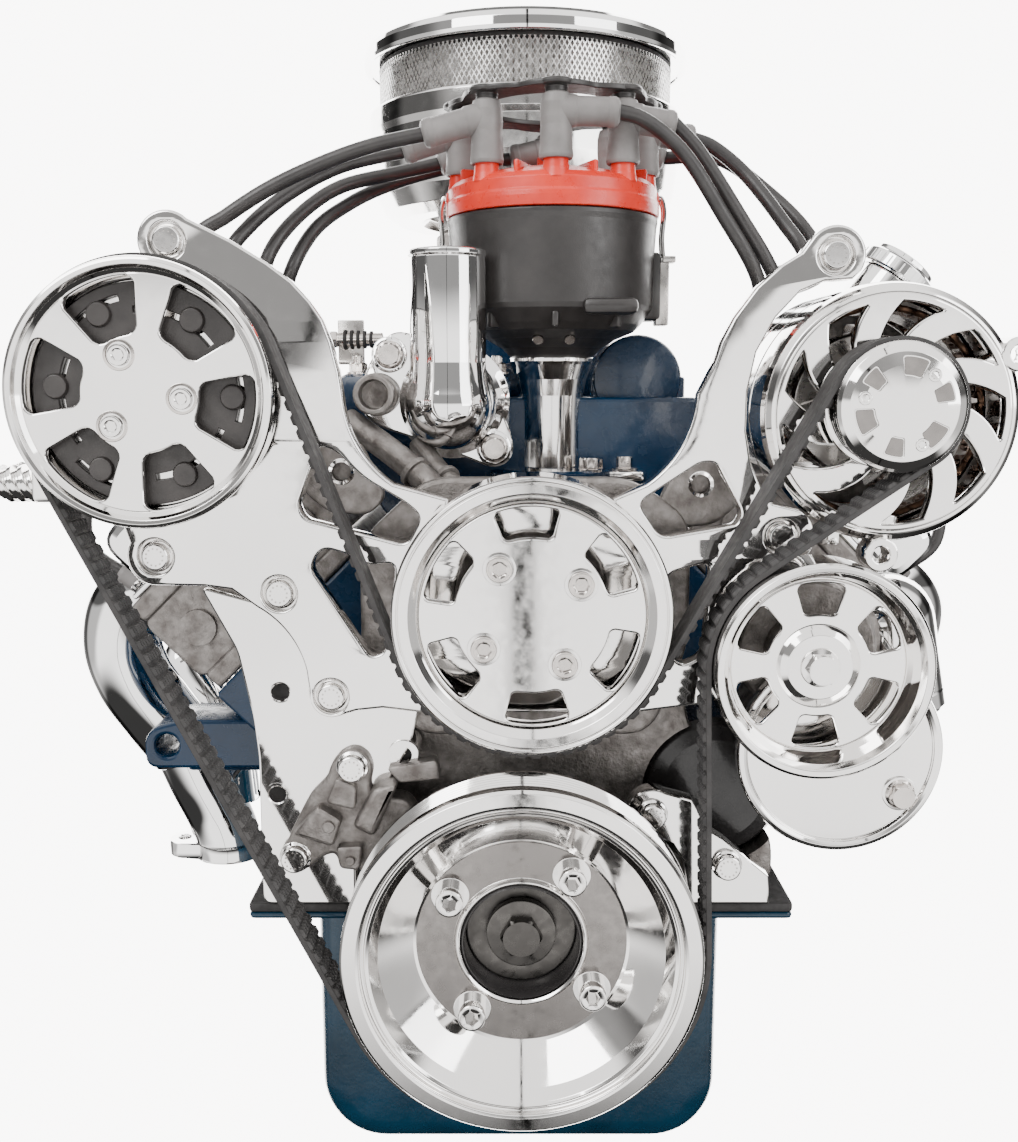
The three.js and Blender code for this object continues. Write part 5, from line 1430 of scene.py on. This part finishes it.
def thermostat():
    x, y, top = -42, -301, 599.5
    piece = Piece("thermostat_housing_visual")
    tube = [(18.6, top - 3), (19, top - 0.6), (21.4, top), (22.6, top - 1), (22.7, top - 3.4),
            (21.8, top - 4.6), (22, top - 8), (22, 536), (23, 526)]
    elbow = [(25.6 * math.cos(math.radians(a)), 511.6 + 25.6 * math.sin(math.radians(a)))
             for a in range(16, -91, -7)]
    piece.add(CHROME, upright(fillet(tube, 1.2, 3) + elbow
                              + [(0, 486), (0, 489), (15, 492), (20, 505), (18.6, 530), (18.6, top - 3)], x,
                              y, 128))
    skirt = []
    for t in range(9):
        k = t / 8
        skirt.append((24 + 9 * k ** 1.8, -300 + 9 * k))
    piece.add(CHROME, across([(0, -305)] + skirt + [(33.6, -290.6), (0, -290.4)], x + 2, 514, 96))
    flange = [(-82, 548), (-92, 530), (-96, 512), (-88, 500), (-62, 492), (-30, 480), (-16, 474), (-5, 479),
              (-4, 492), (-12, 512), (-34, 540), (-62, 553), (-74, 555)]
    piece.add(CHROME, plate([soften_loop(flange, 2)], -292, -285.4, 1.4, 3))
    piece.add(CAST, rod(12.6, (-84, -291, 518), (-84, -300, 518), 1.2, 48),
              turn(fillet([(11, 0), (11, 14), (11.6, 15), (11.6, 17.4), (10.6, 18), (8.6, 18), (8.2, 17),
                           (8.2, 4), (0, 4)], 0.6, 3), (-84, -299, 518), (0, -1, 0), 64))
    for bx, bz in ((-76.7, 541), (-15.5, 486.5)):
        piece.add(CHROME, across(fillet([(10.5, -291), (10.5, -294.4), (9, -295)], 0.8, 3), bx, bz, 48))
        piece.add(PLATED, *hex_bolt(bx, bz, -294.8, 6.8, 6.5, 14))
    made = piece.make("engine", "chrome", "thermostat_housing")
    for vertex in made.data.vertices:
        if vertex.co.z < 530 * MM:
            vertex.co.y = min(vertex.co.y, -285.3 * MM)  # flat against the manifold


def bypass_pipes():
    pipe = Piece("coolant_bypass_pipes")
    for start, bend, end, size in (((-101, -300, 503), (-66, -322, 480), (-26, -350, 447), 7.6),
                                   ((-60, -296, 489), (-46, -316, 474), (-22, -350, 455), 6.0)):
        pipe.add(CAST, sweep([start, bend, end], size, 10, 32))
        near, far = Vector(bend), Vector(end)
        pipe.add(CAST, turn(fillet([(size, 0), (size + 1.8, 0.2), (size + 1.8, 3.4), (size, 3.8)], 0.6, 3),
                            near.lerp(far, 0.12), far - near, 40))
    pipe.make("engine", "cast_aluminium")


def throttle_linkage():
    lever = Piece("throttle_linkage_bracket")
    lever.add(STEEL, box(-112, -96, -256, -252, 536, 563, 0.8), box(-112, -96, -264, -252, 536, 538.4, 0.8))
    lever.add(PLATED, rod(4.2, (-118, -258, 551), (-84, -258, 551), 0.8, 32),
              rod(5.6, (-116, -258, 551), (-112, -258, 551), 0.8, 6))
    lever.add(PLATED, rod(2.4, (-90, -258, 551), (-52, -240, 548), 0.4, 20))
    for k in range(5):
        lever.add(GASKET_AND_HOLE_SHADE, rod(6.0 - 0.2 * k, (-108 + 4 * k, -258, 551), (-106 + 4 * k, -258, 551), 0.6, 28))
    lever.make("engine", "steel")


THROTTLE_Y, THROTTLE_Z = 25, 575


def throttle_shaft():
    """The shaft with its two plates, which turn in the carburettor's rear bores."""
    shaft = Piece("throttle_shaft_visual")
    shaft.add(STEEL, rod(4.4, (-68, THROTTLE_Y, THROTTLE_Z), (68, THROTTLE_Y, THROTTLE_Z), 0.5, 28),
              box(63, 67, 18, 32, 568, 609, 1.2))
    for bx in (-25, 25):
        shaft.add(COPPER, turn(fillet([(0, 0), (17.5, 0), (17.5, 2), (0, 2)], 0.3, 2),
                               (bx, THROTTLE_Y, THROTTLE_Z - 1), (0, 0, 1), 48))
    shaft.add(PLATED, rod(3.6, (60, THROTTLE_Y, 603), (68.4, THROTTLE_Y, 603), 0.6, 24))
    shaft.make("throttle", "steel", "throttle_shaft")


# ---- sump, timing cover and rear ------------------------------------------------------------------------
def pan_loop(half, low, corner, top):
    return [(half, top), *arc(half - corner, low + corner, corner, 0, -90, 12),
            *arc(-half + corner, low + corner, corner, -90, -180, 12), (-half, top)]


RAIL_LOOP = [(-96, -345), (96, -345), (96, -370.6), (152.8, -370.6), (148, 254), (-148, 254),
             (-152.8, -370.6), (-96, -370.6)]


def oil_pan():
    shell = Piece("oil_pan_visual")
    shell.add(PAN_BLUE, plate([pan_loop(137, 0, 45, 256)], -250, 250, 20, 8))
    made = shell.make("engine", "blue_enamel", "oil_pan")
    bored(made, box(-200, 200, -300, 300, 228, 300, 0.1))
    piece = Piece("oil_pan_rail")
    piece.add(PAN_BLUE, level_plate([rounded_loop(RAIL_LOOP, 4)], 227, 231, 1.6, 2))
    for side in (-1, 1):
        for k in range(7):
            y = -230 + 76 * k
            piece.add(PLATED, bolt_head((side * 142.4, y, 227), (0, 0, -1), 6.5, 5, 5, segments=30))
    piece.make("engine", "blue_enamel")
    seal = Piece("oil_pan_gasket_visual")
    seal.add(GASKET_AND_HOLE_SHADE, level_plate([rounded_loop(RAIL_LOOP, 3)], 231.2, 236.4, 1.2, 2))
    seal.make("engine", "cork_rubber", "oil_pan_gasket")


def timing_cover():
    piece = Piece("timing_cover_visual")
    outline = [(-146, 236.8), (146, 236.8), (146, 262), (128, 300), (96, 330), (84, 400), (40, 430),
               (-40, 430), (-84, 400), (-96, 330), (-128, 300), (-146, 262)]
    piece.add(CAST, plate([rounded_loop(outline, 10)], -345, -255.6, 2.4, 3))
    piece.add(CAST, across(fillet([(17.6, -342), (45, -342), (45, -247), (17.6, -247), (17.6, -342)], 1.5,
                                  2), *CRANK, 96))
    made = piece.make("engine", "cast_aluminium", "timing_cover")
    bored(made, across([(0, -380), (42.6, -380), (42.6, -250), (0, -250)], *FILTER, 64))


def timing_pointer():
    casting = Piece("timing_pointer_casting")
    shape = [(-115, 303), (-106, 312), (-103.5, 320), (-97.6, 327), (-91, 329.4), (-83.4, 325.7),
             (-80.4, 317.6), (-82.5, 308), (-80, 302), (-62, 300), (-52, 284), (-56, 262), (-74, 252),
             (-91.3, 259), (-99, 260.4), (-102.8, 268.7), (-108, 267.3), (-114.8, 261.8), (-124, 256),
             (-132.4, 261.8), (-133.5, 268.7), (-128, 277), (-126.6, 281), (-119, 296)]
    casting.add(CAST, plate([rounded_loop(shape, 5)], -377.6, -361, 2.4, 4))
    for corners, round_by, front, back, bevel, steps in (([(-110, 299), (-97, 291), (-102, 276),
                                                           (-124, 283)], 3, -387, -374, 2.4, 3),
                                                         ([(-100, 314), (-89, 309), (-90, 296), (-106, 300)],
                                                          3, -384, -374, 1.6, 3), ([(-101, 275), (-86, 276),
                                                                                    (-88, 262), (-99, 263)],
                                                                                   3, -385, -374, 1.6, 3),
                                                         ([(-66, 312), (-80, 281), (-92, 287), (-80, 309)],
                                                          4, -386, -368, 3.2, 4), ([(-73, 318), (-46, 323),
                                                                                    (-44, 312), (-66, 310)],
                                                                                   2, -380, -368, 1.2, 3)):
        casting.add(CAST, plate([rounded_loop(corners, round_by)], front, back, bevel, steps))
    casting.add(CAST, rod(3.4, (-104, -389, 288), (-104, -384, 288), 0.8, 24),
                rod(2.6, (-93, -387, 268), (-93, -380, 268), 0.6, 24))
    casting.add(TURNED, across(fillet([(4.8, -374), (8.4, -374), (8.8, -372), (8.8, -350), (4.8, -350),
                                       (4.8, -374)], 0.5, 2), -64.4, 324, 40))
    # A black disk in the sleeve's bore: painted shade.
    casting.add(GASKET_AND_HOLE_SHADE, across([(5, -366), (0, -366), (0, -364), (5, -364)], -64.4, 324, 24))
    casting.make("engine", "cast_aluminium")


FRONT_TUBE = [(252, 0, 366), (270, 0, 376), (288, 0.05, 362), (295, 0.15, 334), (289, 0.3, 306),
              (275, 0.5, 280), (257, 0.8, 250)]


def headers():
    for label, side, outlet in (("left", -1, -114), ("right", 1, 100)):
        piece = Piece(f"exhaust_header_{label}_visual")
        face = deck_point(side, 73.3, 40)
        out = deck_point(side, 98, 40)
        foot = side * 226
        down, _ = bank_axis(side)
        piece.add(CHROME, bank_solid(side, 70.4, 78, 18, 62, -190, 235, 3, 1))
        for port in range(4):
            y = (port - 1.5) * BORE_PITCH + 25
            run = outlet - y
            if port:
                route = [(face[0], y, face[1]), (out[0], y, out[1]),
                         (face[0] + side * 50, y + run * 0.15, face[1] - 58),
                         (side * (234 + 3 * port), y + run * 0.75, 250), (foot, outlet - run * 0.08, 196)]
                piece.add(CHROME, sweep(route, 19, 14, 40))
            else:
                front = [(side * x, y + run * t, z) for x, t, z in FRONT_TUBE]
                piece.add(CHROME, sweep([(face[0], y, face[1])] + front, 28.4, 14, 64))
                slip, ahead = Vector(front[-1]), Vector((side * 247, outlet - run * 0.1, 222))
                collar = fillet([(0, -6), (29.4, -6), (29.8, 0), (26.6, 2), (26.6, 8), (0, 8)], 1, 3)
                piece.add(CHROME, turn(collar, slip, ahead - slip, 64))
                piece.add(CHROME, sweep([slip, ahead, (side * 236, outlet, 196), (side * 229, outlet, 178),
                                         (foot, outlet, 161)], 24.6, 12, 64))
            for way in (-1, 1):
                spot = Vector((*deck_point(side, 78, 40 + 13 * way), 0))
                piece.add(PLATED, bolt_head((spot.x, y + 26 * way, spot.y), down, 6.5, 5.2, 7, flange=1.6,
                                            segments=30))
        edge = arc(foot + 32, outlet, 15.6, -80, 80, 10) + arc(foot - 32, outlet, 15.6, 100, 260, 10)
        piece.add(CHROME, level_plate([edge, circle(foot, outlet, 25.6, 48),
                                       circle(foot + 36, outlet, 4.6, 20),
                                       circle(foot - 36, outlet, 4.6, 20)], 160.2, 172, 1.4))
        piece.make("engine", "chrome", f"exhaust_header_{label}")


def oil_filter():
    piece = Piece("oil_filter_visual")
    profile = [(0, -340.6), (30, -340.4), (38, -338.4), (41.4, -333), (42, -326), (42, -262), (40.5, -258.6),
               (38, -258), (0, -258)]
    piece.add(BLACK_ENAMEL, across(fillet(profile, 2, 4), *FILTER, 96))
    for k in range(15):
        inner, outer = polar(*FILTER, 39.6, 24 * k), polar(*FILTER, 41.6, 24 * k)
        piece.add(BLACK_ENAMEL, rod(2.2, (inner[0], -332, inner[1]), (outer[0], -314, outer[1]), 0.6, 12))
    piece.make("engine", "black_enamel", "oil_filter")


def oil_filler():
    foot, mouth = Vector((205, -95, 503)), Vector((288, -95, 614))
    run = mouth - foot
    length = run.length
    neck = Piece("oil_filler_neck_visual")
    neck.add(CHROME, turn(fillet([(20.6, length * 0.2), (20.6, length * 0.87), (24, length * 0.87), (24, 20),
                                  (25.6, 15), (31, 13), (31, 7), (24, 5), (20.6, 5), (20.6, length * 0.2)],
                                 1, 3), foot, run, 96))
    neck.make("engine", "chrome", "oil_filler_neck")
    cap = Piece("oil_filler_cap_visual")
    rim = fillet([(0, length * 0.75), (18.6, length * 0.75), (18.6, length * 0.872), (29, length * 0.872),
                  (30, length * 0.88), (30, length * 0.945), (28.4, length * 0.955), (25.6, length * 0.965),
                  (25, length * 0.99), (23, length * 0.997), (0, length)], 0.8, 3)
    cap.add(CHROME, turn(rim, foot, run, 96))
    for k in range(36):
        side, other = axes(run)
        ray = side * math.cos(k * math.pi / 18) + other * math.sin(k * math.pi / 18)
        start = foot + run * 0.882 + ray * 29.7
        cap.add(CHROME, rod(0.7, start, start + run.normalized() * 7.4, 0.2, 8))
    cap.make("filler_cap", "chrome", "oil_filler_cap")


def flexplate():
    plate_piece = Piece("flexplate_visual")
    loops = [circle(*CRANK, 163, 144), circle(*CRANK, 30, 48)]
    for k in range(6):
        loops.append(circle(*polar(*CRANK, 90, 60 * k), 16, 32))
    for k in range(6):
        loops.append(circle(*polar(*CRANK, 42, 60 * k + 30), 4.5, 16))
    plate_piece.add(STEEL, plate(loops, 272.6, 276, 0.7, 2))
    teeth = []
    for k in range(157):
        angle = 360 * k / 157
        teeth += [polar(*CRANK, r, angle + a) for r, a in ((167, 0), (167.2, 0.5), (170, 0.9), (170, 1.5))]
    plate_piece.add(STEEL, plate([teeth, circle(*CRANK, 162.4, 144)], 268, 279, 0.5, 1))
    plate_piece.make("crank", "steel", "flexplate")


def crankshaft():
    flange = Piece("crankshaft_visual")
    flange.add(STEEL, across(fillet([(0, 255), (28, 255), (28, 262), (43, 262), (44, 263), (44, 271),
                                     (43, 272), (16, 272), (15, 268), (0, 268)], 0.8, 2), *CRANK, 72))
    flange.add(STEEL, rod(16, (CRANK_X, -384, CRANK_Z), (CRANK_X, -262, CRANK_Z), 1, 40),
               rod(28, (CRANK_X, -262, CRANK_Z), (CRANK_X, 256, CRANK_Z), 1, 40))
    for k in range(6):
        x, z = polar(*CRANK, 34, 60 * k + 30)
        flange.add(PLATED, bolt_head((x, 272, z), (0, 1, 0), 7, 6, 2.4, 1.0, flange=1, segments=30))
    flange.make("crank", "steel", "crankshaft")


def hidden_nodes():
    """The pieces inside the covers keep their CAD shapes and get procedural finishes."""
    inside = {"camshaft": STEEL, "cam_sprocket": STEEL, "crank_sprocket": STEEL, "timing_chain": STEEL,
              "distributor_rotor": CHARCOAL}
    for name, material in inside.items():
        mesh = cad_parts[name].data
        mesh.materials.clear()
        mesh.materials.append(material)


engine_block()
for bank in (("left", -1), ("right", 1)):
    cylinder_head(*bank)
    valve_cover(*bank)
for build in (intake, carburetor, air_cleaner_base, filter_element, air_cleaner_lid, air_cleaner_nut,
              water_pump, cover_lugs, water_pump_impeller, thermostat, bypass_pipes, throttle_linkage,
              throttle_shaft, oil_pan, timing_cover, timing_pointer, headers, oil_filter, oil_filler,
              flexplate, crankshaft, hidden_nodes):
    build()


# ---- room -------------------------------------------------------------------------------------
def make_room():
    world = bpy.data.worlds.new("studio")
    bpy.context.scene.world = world
    world.use_nodes = True
    tree = world.node_tree
    coordinates = tree.nodes.new("ShaderNodeTexCoord")
    split = tree.nodes.new("ShaderNodeSeparateXYZ")
    tree.links.new(coordinates.outputs["Generated"], split.inputs["Vector"])

    def feed(socket, value):
        if isinstance(value, (int, float)):
            socket.default_value = value
        else:
            tree.links.new(value, socket)

    def sum_of(operation, *values):
        made = tree.nodes.new("ShaderNodeMath")
        made.operation = operation
        for socket, value in zip(made.inputs, values):
            feed(socket, value)
        return made.outputs["Value"]

    def step(value, low, high, start, stop):
        """start below low, stop above high, and a smooth change between them."""
        made = tree.nodes.new("ShaderNodeMapRange")
        made.interpolation_type = "SMOOTHSTEP"
        for socket, number in zip(("Value", "From Min", "From Max", "To Min", "To Max"),
                                  (value, low, high, start, stop)):
            feed(made.inputs[socket], number)
        return made.outputs["Result"]

    across_view, depth, height = (split.outputs[axis] for axis in "XYZ")
    light = step(height, -0.60, -0.42, 0.05, 2.5)                  # dark floor, bright front
    light = sum_of("MULTIPLY", light, step(height, 0.05, 0.13, 1.0, 0.16))  # dark band over the camera
    light = sum_of("ADD", light, step(height, 0.36, 0.52, 0.0, 1.7))        # bright ceiling
    sides = step(sum_of("ABSOLUTE", across_view), 0.80, 0.93, 1.0, 0.3)     # black flags at both sides
    light = sum_of("MULTIPLY", light, sides)
    streak = step(sum_of("ABSOLUTE", sum_of("SUBTRACT", across_view, 0.012)), 0.008, 0.014, 0.02, 1.0)
    behind = step(depth, -0.2, 0.0, 0.0, 1.0)
    light = sum_of("MULTIPLY", light, sum_of("MAXIMUM", streak, behind))    # the stand in front of the object
    light = sum_of("MULTIPLY", light, step(depth, 0.1, 0.3, 1.0, 0.12))     # dark walls round the paper
    light = sum_of("MAXIMUM", light, step(depth, 0.60, 0.64, 0.0, 9.0))     # white paper behind it
    background = tree.nodes["Background"]
    background.inputs["Color"].default_value = (1.0, 0.985, 0.97, 1)
    feed(background.inputs["Strength"], light)

    def lamp(name, place, aim, size, power):
        data = bpy.data.lights.new(name, "AREA")
        data.shape = "RECTANGLE"
        data.size, data.size_y = size
        data.energy = power
        made = bpy.data.objects.new(name, data)
        made.location = place
        made.rotation_euler = (Vector(aim) - Vector(place)).to_track_quat("-Z", "Y").to_euler()
        bpy.context.collection.objects.link(made)

    lamp("key", (-1.6, -2.2, 2.4), (0, -0.2, 0.4), (1.6, 1.6), 60)
    lamp("fill", (2.0, -1.8, 1.2), (0, -0.2, 0.4), (1.4, 1.4), 30)


make_camera()
make_room()
